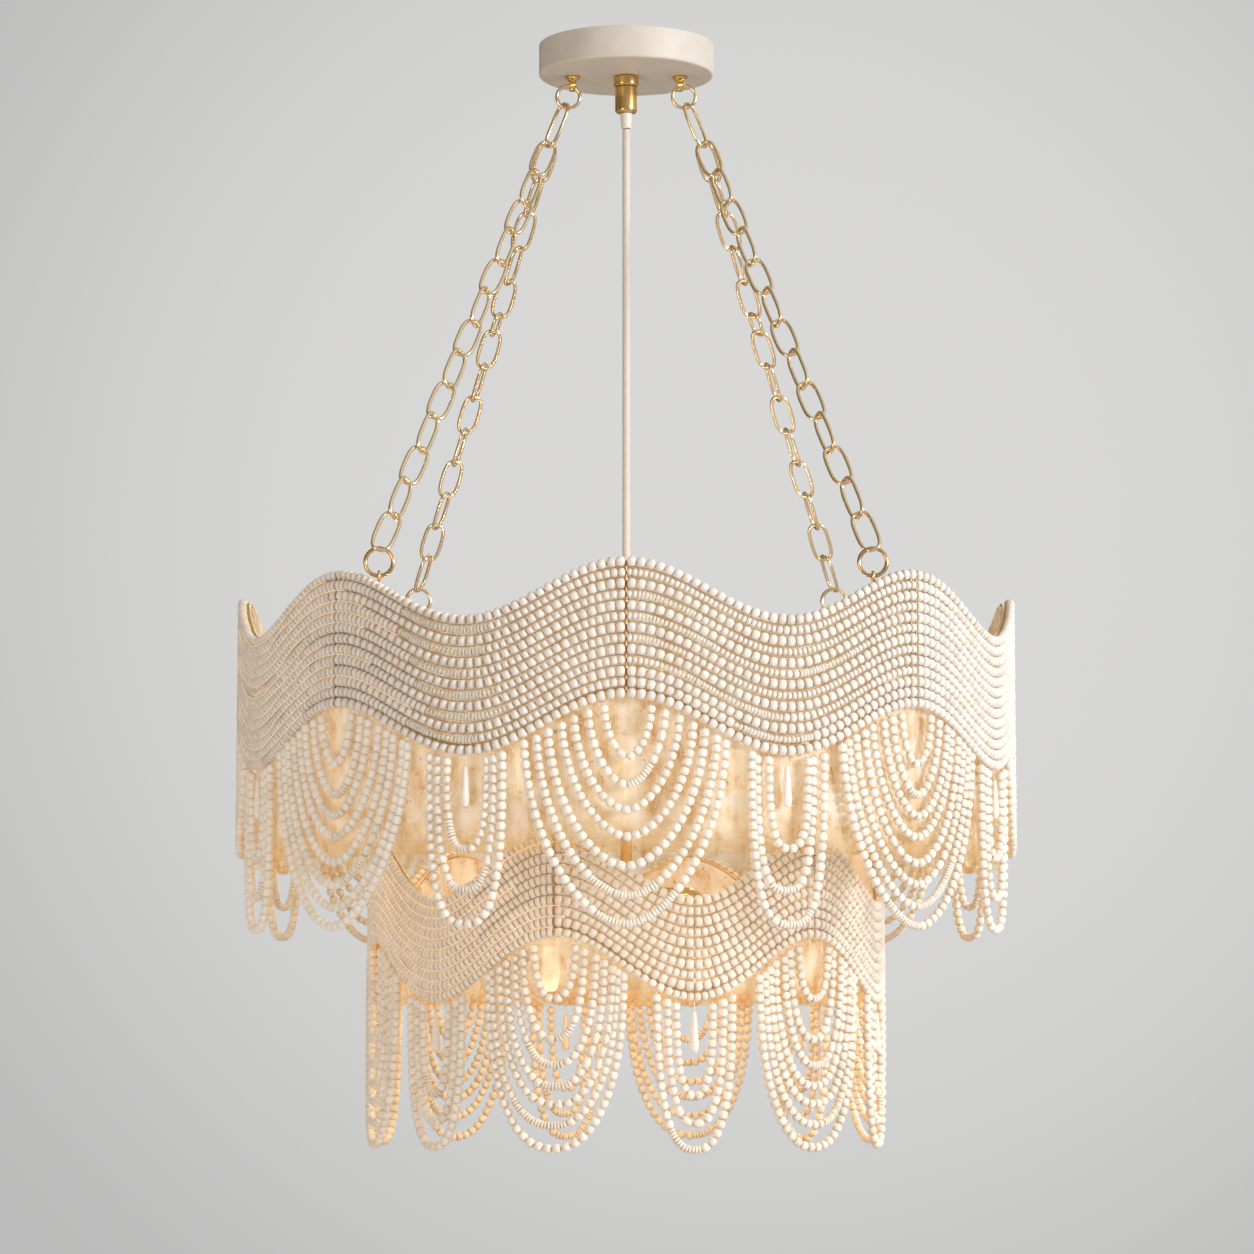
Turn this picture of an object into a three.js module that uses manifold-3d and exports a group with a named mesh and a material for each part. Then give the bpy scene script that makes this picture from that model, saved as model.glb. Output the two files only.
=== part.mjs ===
import * as THREE from 'three';
import { mergeVertices } from 'three/addons/utils/BufferGeometryUtils.js';
import Module from 'manifold-3d';

const wasm = await Module();
wasm.setup();

// Two-tier beaded chandelier. Millimetres, +Z up, z = 0 at the ceiling, front towards -Y.
// Angles round the axis are measured from the front and grow towards +X.

// Shared clearances
const gap = 0.3;
const overrun = 5;
const weld = 0.85;
const mergeTolerance = 0.0001;

// Ceiling canopy and what fastens it
const canopyRadius = 67;
const canopyDepth = 24.7;
const canopyWall = 1.5;
const canopyEdge = 2;
const crossbarLength = 112;
const crossbarWidth = 22;
const crossbarThickness = 2.5;
const eyeSpread = 41;
const eyeShankRadius = 2;
const eyeBaseRadius = 6.2;
const eyeBaseRim = 1.2;
const eyeBaseHeight = 3.8;
const eyeNeckRadius = 2.6;
const eyeLoopRadius = 4;
const eyeWire = 1.2;

// Cord grip and supply cord
const nippleRadius = 5;
const nippleHeight = 10;
const collarRadius = 10;
const collarHeight = 8;
const gripRadius = 8.7;
const gripHeight = 20.5;
const gripWaist = 1.2;
const sleeveTopRadius = 4.8;
const sleeveBottomRadius = 3.9;
const sleeveLength = 12;
const cordRadius = 3;
const cordSlack = 0.9;

// Rings and chains
const ringRadius = 9;
const ringWire = 1.4;
const linkWire = 1.5;
const linkHalfWidth = 6.3;
const splitX = 58;
const splitZ = -83;
const splitOffset = 2.2;
const splitRise = 1.2;
const frontLinks = 13;
const backLinks = 14;
const shortLinkPlace = 5;
const shortLinkShare = 0.52;
const shadeRingRadius = 10.5;
const shadeRingWire = 1.5;
const shadeRingAngle = 37;
const frontRingRise = 4.5;
const backRingRise = 19;
const eyeletLoopRadius = 3.4;
const eyeletWire = 1.2;

// Beads and the wires that carry them
const beadDiameter = 7.2;
const smallBeadInset = 1.3;
const frameWire = 1.4;
const linerThickness = 1.6;
const stringRadius = 3.6;
const carrierWidth = 7;
const carrierHeight = 3;
const carrierGap = 0.45;
const dropRadius = 3.8;
const dropLength = 29;
const dropThreadRadius = 0.9;
const dropThread = 17;

// Upper tier: eight waves, a crest at the front
const upper = {
  name: 'upper',
  radius: 300,
  waves: 8,
  firstCrest: 0,
  crestZ: -439,
  waveHeight: 39,
  rows: 13,
  rowPitch: 7.75,
  linerBottomZ: -653,
  spokes: [22.5, 112.5, 202.5, 292.5],
  spokeLift: 2 * frameWire + gap,
  crestWidths: [17, 34, 51, 67],
  crestDepths: [38, 80, 117, 148],
  troughWidths: [16, 28],
  troughDepths: [74, 109],
};

// Lower tier: six waves, a trough beside the front
const lower = {
  name: 'lower',
  radius: 201.5,
  waves: 6,
  firstCrest: -15,
  crestZ: -624,
  waveHeight: 45,
  rows: 10,
  rowPitch: 7.7,
  linerBottomZ: -797,
  spokes: [-45, 75, 195],
  spokeLift: 0,
  crestWidths: [12, 26, 39, 51],
  crestDepths: [44, 84, 117, 145],
  troughWidths: [14, 28],
  troughDepths: [66, 101],
};

// Lamp clusters on the central stem
const hubRingRadius = 18;
const hubRingBore = 12;
const hubRingHeight = 4;
const hubFlange = 3.5;
const hubBodyRadius = 11;
const hubBodyHeight = 22;
const stemRadius = 4.5;
const armRadius = 3;
const armBend = 12;
const upperArmReach = 100;
const upperArms = [0, 120, 240];
const upperArmNames = ['front', 'right', 'left'];
const upperSocketTopZ = -522;
const lowerArmReach = 58;
const lowerArms = [90, 270];
const lowerArmNames = ['right', 'left'];
const lowerSocketTopZ = -677;
const finialHeight = 7;
const socketRadius = 7.4;
const socketHeight = 29;
const socketWall = 2.2;
const socketFloor = 6;
const bulbBaseRadius = 4.7;
const bulbRadius = 7;
const bulbLength = 33;
const bulbShoulder = 3;

// Facets
const stepsPerWave = 6;
const crestFacets = 2;
const troughFacets = 1;
const innerStringSteps = 4;
const stringSteps = 6;
const hoopSides = 3;
const roundSides = 36;
const smallSides = 8;
const loopSides = 6;
const wireSides = 5;
const linkSteps = 3;
const linkSides = 4;
const halvings = 60;
const stretchRange = 50;

// Materials
const finish = (color, roughness, metalness) =>
  new THREE.MeshStandardMaterial({ color, roughness, metalness });
const creamPaint = finish(0xe9e0d2, 0.55, 0);
const zinc = finish(0xb8b8b6, 0.4, 1);
const brass = finish(0xc9a25c, 0.28, 1);
const goldWire = finish(0xcfab6a, 0.32, 1);
const bead = finish(0xefe7da, 0.6, 0);
const parchment = finish(0xf0d9ae, 0.7, 0);
const cordCover = finish(0xeee4d6, 0.8, 0);
const porcelain = finish(0xf4efe4, 0.35, 0);
const glass = finish(0xfff2d8, 0.1, 0);

// Points and directions
const degrees = Math.PI / 180;
const up = new THREE.Vector3(0, 0, 1);
const point = (x, y, z) => new THREE.Vector3(x, y, z);
const around = (radius, angle, z) =>
  point(radius * Math.sin(angle * degrees), -radius * Math.cos(angle * degrees), z);

// Closed geometry to a solid, with its faces pointing out
function solid(geometry) {
  const bare = geometry.clone();
  bare.deleteAttribute('normal');
  bare.deleteAttribute('uv');
  const merged = mergeVertices(bare, mergeTolerance);
  const corners = merged.getAttribute('position');
  const faces = [];
  const index = merged.getIndex().array;
  let volume = 0;
  const a = point(0, 0, 0);
  const b = point(0, 0, 0);
  const c = point(0, 0, 0);
  for (let i = 0; i < index.length; i += 3) {
    const [p, q, r] = [index[i], index[i + 1], index[i + 2]];
    if (p === q || q === r || r === p) continue;
    faces.push([p, q, r]);
    a.fromBufferAttribute(corners, p);
    b.fromBufferAttribute(corners, q);
    c.fromBufferAttribute(corners, r);
    volume += a.dot(b.cross(c));
  }
  if (volume < 0) faces.forEach((face) => face.reverse());
  return new wasm.Manifold(new wasm.Mesh({
    numProp: 3,
    vertProperties: new Float32Array(corners.array),
    triVerts: new Uint32Array(faces.flat()),
  }));
}

function joined(first, ...others) {
  return others.reduce((whole, piece) => whole.add(piece), first);
}

function geometryOf(body) {
  const mesh = body.getMesh();
  const geometry = new THREE.BufferGeometry();
  geometry.setAttribute('position', new THREE.BufferAttribute(new Float32Array(mesh.vertProperties), 3));
  geometry.setIndex(new THREE.BufferAttribute(new Uint32Array(mesh.triVerts), 1));
  geometry.computeVertexNormals();
  return geometry;
}

const chandelier = new THREE.Group();

function addNode(name, body, material) {
  const mesh = new THREE.Mesh(geometryOf(body), material);
  mesh.name = name;
  chandelier.add(mesh);
}

// A profile of [radius, z] pairs turned about the z axis
function turned(profile, sides) {
  const outline = profile.map(([radius, z]) => new THREE.Vector2(radius, z));
  return new THREE.LatheGeometry(outline, sides).rotateX(Math.PI / 2);
}

const closed = (profile) => [...profile, profile[0]];

// A round bar between two points
function bar(from, to, radius, sides) {
  const along = to.clone().sub(from);
  const geometry = new THREE.CylinderGeometry(radius, radius, along.length(), sides);
  const turn = new THREE.Quaternion().setFromUnitVectors(point(0, 1, 0), along.normalize());
  const middle = from.clone().add(to).multiplyScalar(0.5);
  return solid(geometry.applyQuaternion(turn).translate(middle.x, middle.y, middle.z));
}

// A wire bent along a curve
function wire(curve, radius, sides, steps) {
  const section = new THREE.Shape();
  for (let i = 0; i < sides; i += 1) {
    const angle = (2 * Math.PI * i) / sides;
    const x = radius * Math.cos(angle);
    const y = radius * Math.sin(angle);
    if (i === 0) section.moveTo(x, y);
    else section.lineTo(x, y);
  }
  section.closePath();
  return solid(new THREE.ExtrudeGeometry(section, { steps, extrudePath: curve, bevelEnabled: false }));
}

// A straight-sided link: two half rings and two bars, length along `along`, opening along `across`
function link(top, bottom, across, halfWidth, radius) {
  const along = bottom.clone().sub(top);
  const straight = along.length() / 2 - halfWidth;
  along.normalize();
  const side = across.clone().addScaledVector(along, -across.dot(along)).normalize();
  const middle = top.clone().add(bottom).multiplyScalar(0.5);
  const basis = new THREE.Matrix4().makeBasis(side, along, side.clone().cross(along)).setPosition(middle);
  const ring = new THREE.TorusGeometry(halfWidth, radius, linkSides, 2 * linkSteps);
  ring.rotateZ(Math.PI / (2 * linkSteps));
  const places = ring.getAttribute('position');
  for (let i = 0; i < places.count; i += 1) {
    const y = places.getY(i);
    places.setY(i, y + Math.sign(y) * straight);
  }
  return solid(ring.applyMatrix4(basis));
}

// Waves of a tier's edges
const waveShift = (tier, angle) =>
  (tier.waveHeight / 2) * (Math.cos(tier.waves * (angle - tier.firstCrest) * degrees) - 1);
const bandHeight = (tier) => tier.rows * tier.rowPitch;
const bandInnerRadius = (tier) => tier.radius - beadDiameter;
const frameRadius = (tier) => bandInnerRadius(tier) - gap - frameWire;
const topHoopDrop = (tier) => tier.rowPitch / 2;
const bottomHoopDrop = (tier) => bandHeight(tier) - tier.rowPitch;
const tierSides = (tier) => tier.waves * stepsPerWave;
const facetAngle = (tier) => 360 / tierSides(tier);

// The same wave between two corners of the faceted band
function facetShift(tier, angle) {
  const places = (angle - tier.firstCrest) / facetAngle(tier);
  const before = Math.floor(places);
  const shift = (place) => waveShift(tier, tier.firstCrest + place * facetAngle(tier));
  return THREE.MathUtils.lerp(shift(before), shift(before + 1), places - before);
}

function bendToWave(geometry, tier, share) {
  geometry.rotateZ(tier.firstCrest * degrees);
  const places = geometry.getAttribute('position');
  for (let i = 0; i < places.count; i += 1) {
    const angle = Math.atan2(places.getX(i), -places.getY(i)) / degrees;
    const z = places.getZ(i);
    places.setZ(i, z + waveShift(tier, angle) * share(z));
  }
  return geometry;
}

const fully = () => 1;

// Rows of beads: each large row stands out, each small row lies between two large ones
function beadBand(tier) {
  const valley = tier.radius - smallBeadInset;
  const rows = Array.from({ length: tier.rows }, (_, i) => [
    i % 2 === 0 ? tier.radius : valley,
    tier.crestZ - (i + 0.5) * tier.rowPitch,
  ]);
  const bottom = tier.crestZ - bandHeight(tier);
  const profile = closed([
    [bandInnerRadius(tier), tier.crestZ],
    [valley, tier.crestZ],
    ...rows,
    [valley, bottom],
    [bandInnerRadius(tier), bottom],
  ]);
  return solid(bendToWave(turned(profile, tierSides(tier)), tier, fully));
}

// Liner: its top edge follows the wave below the top hoop and its bottom edge is level
function liner(tier) {
  const outer = frameRadius(tier) - frameWire - gap;
  const inner = outer - linerThickness;
  const top = tier.crestZ - topHoopDrop(tier) - frameWire - gap;
  const bottom = tier.linerBottomZ;
  const profile = closed([[inner, top], [outer, top], [outer, bottom], [inner, bottom]]);
  const share = (z) => (z - bottom) / (top - bottom);
  return solid(bendToWave(turned(profile, tierSides(tier)), tier, share));
}

function hoop(tier, drop) {
  const geometry = new THREE.TorusGeometry(frameRadius(tier), frameWire, hoopSides, tierSides(tier));
  geometry.translate(0, 0, tier.crestZ - drop);
  return solid(bendToWave(geometry, tier, fully));
}

// The spokes lie at the troughs of the top hoop: on it in the upper tier, level with it in the lower
const spiderZ = (tier) => tier.crestZ - tier.waveHeight - topHoopDrop(tier) + tier.spokeLift;
const ringTopZ = (tier) => spiderZ(tier) + hubRingHeight / 2;
const rimZ = (tier, angle) => tier.crestZ + waveShift(tier, angle);

// Wire cage: two hoops and an upright at each crest
function cage(tier) {
  const radius = frameRadius(tier);
  const pieces = [hoop(tier, bottomHoopDrop(tier))];
  for (let i = 0; i < tier.waves; i += 1) {
    const angle = tier.firstCrest + (i * 360) / tier.waves;
    const top = around(radius, angle, rimZ(tier, angle) - topHoopDrop(tier));
    const bottom = around(radius, angle, rimZ(tier, angle) - bottomHoopDrop(tier));
    pieces.push(bar(top, bottom, frameWire, hoopSides));
  }
  return joined(hoop(tier, topHoopDrop(tier)), ...pieces);
}

// Spider: spokes and the ring round the stem
function spider(tier) {
  const z = spiderZ(tier);
  const reach = frameRadius(tier) + frameWire / 2;
  const spokes = tier.spokes.map((angle) => {
    const inside = around(hubRingRadius - frameWire, angle, z);
    return bar(inside, around(reach, angle, z), frameWire, wireSides - 1);
  });
  const ring = closed([
    [hubRingBore, z - hubRingHeight / 2],
    [hubRingRadius, z - hubRingHeight / 2],
    [hubRingRadius, z + hubRingHeight / 2],
    [hubRingBore, z + hubRingHeight / 2],
  ]);
  return joined(solid(turned(ring, 2 * smallSides)), ...spokes);
}

// Where each shade ring stands: at the rim, above an eyelet on the upper frame
function shadeRing(side, face) {
  const angle = face === 'front' ? shadeRingAngle : 180 - shadeRingAngle;
  const place = around(frameRadius(upper), side * angle, 0);
  const rise = face === 'front' ? frontRingRise : backRingRise;
  place.z = rimZ(upper, angle) + shadeRingRadius + rise;
  return place;
}

// Eyelet loop on a post, with the ring's wire under the top of the loop
function eyelet(side, face) {
  const ring = shadeRing(side, face);
  const ringBottom = ring.z - shadeRingRadius;
  const centreZ = ringBottom + shadeRingWire + gap + eyeletWire - eyeletLoopRadius;
  const loop = new THREE.TorusGeometry(eyeletLoopRadius, eyeletWire, wireSides - 1, loopSides);
  loop.rotateY(Math.PI / 2).translate(ring.x, ring.y, centreZ);
  const foot = point(ring.x, ring.y, rimZ(upper, shadeRingAngle) - topHoopDrop(upper));
  const head = point(ring.x, ring.y, centreZ - eyeletLoopRadius);
  return joined(solid(loop), bar(foot, head, eyeletWire, wireSides - 1));
}

// Ceiling eye: threaded shank, flared base and loop
const undersideZ = -canopyDepth;
const eyeBaseZ = undersideZ - gap;
const eyeLoopZ = eyeBaseZ - eyeBaseHeight - eyeLoopRadius + eyeWire;
const ringTopWireZ = eyeLoopZ - eyeLoopRadius + eyeWire + gap + ringWire;
const ringCentreZ = ringTopWireZ - ringRadius;

function ceilingEye(x) {
  const base = turned([
    [0, -gap],
    [eyeShankRadius, -gap],
    [eyeShankRadius, eyeBaseZ],
    [eyeBaseRadius, eyeBaseZ],
    [eyeBaseRadius, eyeBaseZ - eyeBaseRim],
    [eyeNeckRadius, eyeBaseZ - eyeBaseHeight],
    [0, eyeBaseZ - eyeBaseHeight],
  ], smallSides);
  const loop = new THREE.TorusGeometry(eyeLoopRadius, eyeWire, wireSides, loopSides);
  loop.rotateY(Math.PI / 2).translate(0, 0, eyeLoopZ);
  return joined(solid(base), solid(loop)).translate([x, 0, 0]);
}

function roundRing(centre, radius, thickness) {
  const geometry = new THREE.TorusGeometry(radius, thickness, wireSides, smallSides + 4);
  return solid(geometry.rotateX(Math.PI / 2).translate(centre.x, centre.y, centre.z));
}

// Chains: the top ring and its shared link, from which two chains part to the shade rings
function chainHead(side) {
  const topRing = roundRing(point(side * eyeSpread, 0, ringCentreZ), ringRadius, ringWire);
  const ringBottom = point(side * eyeSpread, 0, ringCentreZ - ringRadius);
  const split = point(side * splitX, 0, splitZ);
  const along = split.clone().sub(ringBottom).normalize();
  const top = ringBottom.clone().addScaledVector(along, -weld * (ringWire + linkWire));
  const bottom = split.clone().addScaledVector(along, weld * linkWire);
  return joined(topRing, link(top, bottom, point(0, 1, 0), linkHalfWidth, linkWire));
}

function chain(side, face) {
  const front = face === 'front';
  const count = front ? frontLinks : backLinks;
  const ring = shadeRing(side, face);
  const start = point(side * splitX, front ? -splitOffset : splitOffset, splitZ);
  const end = point(ring.x, ring.y, ring.z + shadeRingRadius);
  const along = end.clone().sub(start);
  const length = along.length();
  along.normalize();
  const isShort = (i) => !front && i === shortLinkPlace;
  const shares = Array.from({ length: count }, (_, i) => (isShort(i) ? shortLinkShare : 1));
  const pitch = length / shares.reduce((sum, share) => sum + share, 0);
  const flat = point(1, 0, 0);
  const edge = along.clone().cross(flat);
  const hold = weld * linkWire;
  const firstHold = front ? hold : linkWire + gap + splitOffset * splitRise;
  let passed = 0;
  const links = shares.map((share, i) => {
    const top = start.clone().addScaledVector(along, passed - (i === 0 ? firstHold : hold));
    passed += share * pitch;
    const bottom = start.clone().addScaledVector(along, passed + hold);
    return link(top, bottom, i % 2 === 0 ? flat : edge, linkHalfWidth, linkWire);
  });
  const last = roundRing(point(ring.x, ring.y, ring.z), shadeRingRadius, shadeRingWire);
  const whole = joined(last, ...links);
  return front ? joined(whole, chainHead(side)) : whole;
}

// A hanging string: the catenary of a given half span and drop, wrapped round the tier.
// Its steps turn by equal angles, so that they lie closest together in the bend.
class HangingString extends THREE.Curve {
  constructor(tier, middle, halfWidth, bottomZ) {
    super();
    const edge = halfWidth / tier.radius / degrees;
    const attachZ = carrierZ(tier, middle + edge) - carrierHeight / 4;
    Object.assign(this, { tier, middle, bottomZ });
    this.stretch = catenaryStretch(halfWidth, attachZ - bottomZ);
    this.steepest = Math.atan(Math.sinh(halfWidth / this.stretch));
  }

  getUtoTmapping(u) {
    return u;
  }

  getPoint(t) {
    const slope = Math.tan((2 * t - 1) * this.steepest);
    const reach = this.stretch * Math.asinh(slope);
    const z = this.bottomZ + this.stretch * (Math.hypot(1, slope) - 1);
    const angle = this.middle + reach / this.tier.radius / degrees;
    return around(this.tier.radius - beadDiameter / 2, angle, z);
  }
}

// The catenary's constant for a half span and a drop, by halving
function catenaryStretch(halfSpan, drop) {
  let low = halfSpan / stretchRange;
  let high = halfSpan * stretchRange;
  for (let i = 0; i < halvings; i += 1) {
    const middle = (low + high) / 2;
    if (middle * (Math.cosh(halfSpan / middle) - 1) > drop) low = middle;
    else high = middle;
  }
  return low;
}

// The thread that a swag's strings are tied to, just under the band's bottom edge
function carrierZ(tier, angle) {
  return tier.crestZ + facetShift(tier, angle) - bandHeight(tier) - carrierGap - carrierHeight / 2;
}

function carrier(tier, middle, facets) {
  const flat = new THREE.BoxGeometry(2 * facets, carrierWidth, carrierHeight, 2 * facets, 1, 1);
  const places = flat.getAttribute('position');
  const end = facets * facetAngle(tier) - gap / tier.radius / degrees;
  for (let i = 0; i < places.count; i += 1) {
    const turn = places.getX(i) * facetAngle(tier);
    const angle = middle + THREE.MathUtils.clamp(turn, -end, end);
    const radius = tier.radius - beadDiameter / 2 - places.getY(i);
    const place = around(radius, angle, carrierZ(tier, angle) + places.getZ(i));
    places.setXYZ(i, place.x, place.y, place.z);
  }
  return solid(flat);
}

function swag(tier, middle, widths, depths, facets) {
  const edgeZ = rimZ(tier, middle) - bandHeight(tier);
  const strings = widths.map((halfWidth, i) => {
    const curve = new HangingString(tier, middle, halfWidth, edgeZ - depths[i]);
    const steps = i < widths.length / 2 ? innerStringSteps : stringSteps;
    return wire(curve, stringRadius, hoopSides, steps);
  });
  return joined(carrier(tier, middle, facets), ...strings);
}

// The long bead on a thread in the middle of a small swag
function dropBead(tier, middle) {
  const top = around(tier.radius - beadDiameter / 2, middle, carrierZ(tier, middle));
  const thread = bar(top, top.clone().addScaledVector(up, -dropThread), dropThreadRadius, hoopSides);
  const bead = turned([
    [0, dropLength / 2],
    [dropRadius, dropLength / 3],
    [dropRadius, -dropLength / 3],
    [0, -dropLength / 2],
  ], wireSides);
  bead.translate(top.x, top.y, top.z - dropThread - dropLength / 2 + dropThreadRadius);
  return joined(thread, solid(bead));
}

function swags(tier) {
  const half = 180 / tier.waves;
  for (let i = 0; i < tier.waves; i += 1) {
    const crest = tier.firstCrest + 2 * half * i;
    const large = swag(tier, crest, tier.crestWidths, tier.crestDepths, crestFacets);
    addNode(`${tier.name}_large_swag_${i + 1}`, large, bead);
    const trough = crest + half;
    const small = swag(tier, trough, tier.troughWidths, tier.troughDepths, troughFacets);
    addNode(`${tier.name}_small_swag_${i + 1}`, joined(small, dropBead(tier, trough)), bead);
  }
}

// Arm from a hub, level first and bent down into its socket
function arm(angle, reach, startZ, endZ) {
  const curve = new THREE.CurvePath();
  const start = around(stemRadius, angle, startZ);
  const bend = around(reach - armBend, angle, startZ);
  const corner = around(reach, angle, startZ);
  const low = around(reach, angle, startZ - armBend);
  curve.add(new THREE.LineCurve3(start, bend));
  curve.add(new THREE.QuadraticBezierCurve3(bend, corner, low));
  curve.add(new THREE.LineCurve3(low, around(reach, angle, endZ)));
  return wire(curve, armRadius, wireSides, smallSides);
}

// Upper cluster: hub hung on the upper frame's ring, three arms
const upperHubTopZ = ringTopZ(upper) + gap + hubFlange;
const upperHubBottomZ = upperHubTopZ - hubFlange - hubBodyHeight;
const upperArmZ = upperHubBottomZ + hubBodyRadius / 2;

function upperCluster() {
  const hub = turned([
    [0, upperHubTopZ],
    [hubRingRadius - hubFlange / 2, upperHubTopZ],
    [hubRingRadius, upperHubTopZ - hubFlange / 2],
    [hubRingRadius, upperHubTopZ - hubFlange],
    [hubBodyRadius, upperHubTopZ - hubFlange],
    [hubBodyRadius, upperHubBottomZ + hubFlange],
    [hubBodyRadius - hubFlange, upperHubBottomZ],
    [0, upperHubBottomZ],
  ], 2 * smallSides);
  const arms = upperArms.map((angle) => arm(angle, upperArmReach, upperArmZ, upperSocketTopZ + gap));
  return joined(solid(hub), ...arms);
}

// Lower cluster: stem below the upper hub, hub with two arms, and the finial under the lower frame's ring
const lowerRingBottomZ = spiderZ(lower) - hubRingHeight / 2;
const lowerArmZ = ringTopZ(lower) + gap + hubBodyRadius;

function lowerCluster() {
  const finialTop = lowerRingBottomZ - gap;
  const stem = turned([
    [0, upperHubBottomZ - gap],
    [stemRadius, upperHubBottomZ - gap],
    [stemRadius, lowerArmZ + hubBodyRadius],
    [hubBodyRadius, lowerArmZ + hubBodyRadius / 2],
    [hubBodyRadius, lowerArmZ - hubBodyRadius / 2],
    [stemRadius, lowerArmZ - hubBodyRadius],
    [stemRadius, finialTop],
    [hubRingRadius - hubFlange, finialTop],
    [hubRingRadius - hubFlange, finialTop - hubFlange],
    [stemRadius, finialTop - finialHeight],
    [0, finialTop - finialHeight],
  ], 2 * smallSides);
  const arms = lowerArms.map((angle) => arm(angle, lowerArmReach, lowerArmZ, lowerSocketTopZ + gap));
  return joined(solid(stem), ...arms);
}

function socket(place) {
  const bore = socketRadius - socketWall;
  return solid(turned([
    [0, 0],
    [socketRadius - socketWall / 2, 0],
    [socketRadius, -socketWall],
    [socketRadius, -socketHeight],
    [bore, -socketHeight],
    [bore, -socketFloor],
    [0, -socketFloor],
  ], smallSides)).translate([place.x, place.y, place.z]);
}

function bulb(place) {
  const baseTop = -socketFloor - gap;
  const shoulder = -socketHeight - gap;
  return solid(turned([
    [0, baseTop],
    [bulbBaseRadius, baseTop],
    [bulbBaseRadius, shoulder],
    [bulbRadius, shoulder - bulbShoulder],
    [bulbRadius, shoulder - bulbLength + bulbRadius],
    [bulbRadius / 2, shoulder - bulbLength],
    [0, shoulder - bulbLength],
  ], smallSides)).translate([place.x, place.y, place.z]);
}

// Ceiling plate and canopy
function hole(x, radius) {
  const clear = radius / Math.cos(Math.PI / smallSides);
  return bar(point(x, 0, -canopyDepth - overrun), point(x, 0, overrun), clear, smallSides);
}

function canopy() {
  const shell = turned([
    [0, canopyWall - canopyDepth],
    [canopyRadius - canopyWall, canopyWall - canopyDepth],
    [canopyRadius - canopyWall, 0],
    [canopyRadius, 0],
    [canopyRadius, canopyEdge - canopyDepth],
    [canopyRadius - canopyEdge, -canopyDepth],
    [0, -canopyDepth],
  ], roundSides);
  return solid(shell)
    .subtract(hole(0, nippleRadius + gap))
    .subtract(hole(-eyeSpread, eyeShankRadius + gap))
    .subtract(hole(eyeSpread, eyeShankRadius + gap));
}

function crossbar() {
  const plate = new THREE.BoxGeometry(crossbarLength, crossbarWidth, crossbarThickness);
  return solid(plate.translate(0, 0, -crossbarThickness / 2))
    .subtract(hole(-eyeSpread, eyeShankRadius + gap))
    .subtract(hole(eyeSpread, eyeShankRadius + gap));
}

const collarTopZ = undersideZ - gap;
const gripTopZ = collarTopZ - collarHeight - gap;
const sleeveTopZ = gripTopZ - gripHeight - gap;
const cordTopZ = sleeveTopZ - sleeveLength - cordSlack;
const cordBottomZ = upperHubTopZ + gap;

function cordGripCollar() {
  return solid(turned([
    [0, collarTopZ + nippleHeight],
    [nippleRadius, collarTopZ + nippleHeight],
    [nippleRadius, collarTopZ],
    [collarRadius, collarTopZ],
    [collarRadius, collarTopZ - collarHeight + gripWaist],
    [gripRadius, collarTopZ - collarHeight],
    [0, collarTopZ - collarHeight],
  ], 2 * smallSides));
}

function cordGripNut() {
  return solid(turned([
    [0, gripTopZ],
    [gripRadius, gripTopZ],
    [gripRadius, gripTopZ - gripHeight + gripWaist],
    [gripRadius - gripWaist, gripTopZ - gripHeight],
    [0, gripTopZ - gripHeight],
  ], 2 * smallSides));
}

function strainRelief() {
  return solid(turned([
    [0, sleeveTopZ],
    [sleeveTopRadius, sleeveTopZ],
    [sleeveBottomRadius, sleeveTopZ - sleeveLength],
    [0, sleeveTopZ - sleeveLength],
  ], smallSides));
}

// The cord hangs straight from the sleeve to the upper hub
function supplyCord() {
  const drop = new THREE.LineCurve3(point(0, 0, cordTopZ), point(0, 0, cordBottomZ));
  return wire(drop, cordRadius, 2 * wireSides - 2, stringSteps);
}

// Assembly
addNode('mounting_crossbar', crossbar(), zinc);
addNode('canopy', canopy(), creamPaint);
addNode('cord_grip_collar', cordGripCollar(), brass);
addNode('cord_grip_nut', cordGripNut(), brass);
addNode('strain_relief_sleeve', strainRelief(), porcelain);
addNode('supply_cord', supplyCord(), cordCover);
for (const [sideName, side] of [['left', -1], ['right', 1]]) {
  addNode(`ceiling_eye_${sideName}`, ceilingEye(side * eyeSpread), brass);
  addNode(`front_chain_${sideName}`, chain(side, 'front'), brass);
  addNode(`back_chain_${sideName}`, chain(side, 'back'), brass);
}
const eyelets = [1, -1].flatMap((side) => ['front', 'back'].map((face) => eyelet(side, face)));
addNode('upper_frame', joined(cage(upper), ...eyelets), goldWire);
addNode('upper_spider', spider(upper), goldWire);
addNode('lower_frame', joined(cage(lower), spider(lower)), goldWire);
addNode('upper_bead_band', beadBand(upper), bead);
addNode('lower_bead_band', beadBand(lower), bead);
addNode('upper_liner', liner(upper), parchment);
addNode('lower_liner', liner(lower), parchment);
addNode('upper_lamp_cluster', upperCluster(), brass);
addNode('lower_lamp_cluster', lowerCluster(), brass);
upperArms.forEach((angle, i) => {
  const place = around(upperArmReach, angle, upperSocketTopZ);
  addNode(`upper_socket_${upperArmNames[i]}`, socket(place), porcelain);
  addNode(`upper_bulb_${upperArmNames[i]}`, bulb(place), glass);
});
lowerArms.forEach((angle, i) => {
  const place = around(lowerArmReach, angle, lowerSocketTopZ);
  addNode(`lower_socket_${lowerArmNames[i]}`, socket(place), porcelain);
  addNode(`lower_bulb_${lowerArmNames[i]}`, bulb(place), glass);
});
swags(upper);
swags(lower);

export default chandelier;
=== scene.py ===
"""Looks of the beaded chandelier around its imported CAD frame. +Z is up and the front looks towards -Y.

Shapes are in millimetres, camera and lights in metres, and angles in degrees from the front towards +X.
"""

import math
import random
from dataclasses import dataclass

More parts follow.
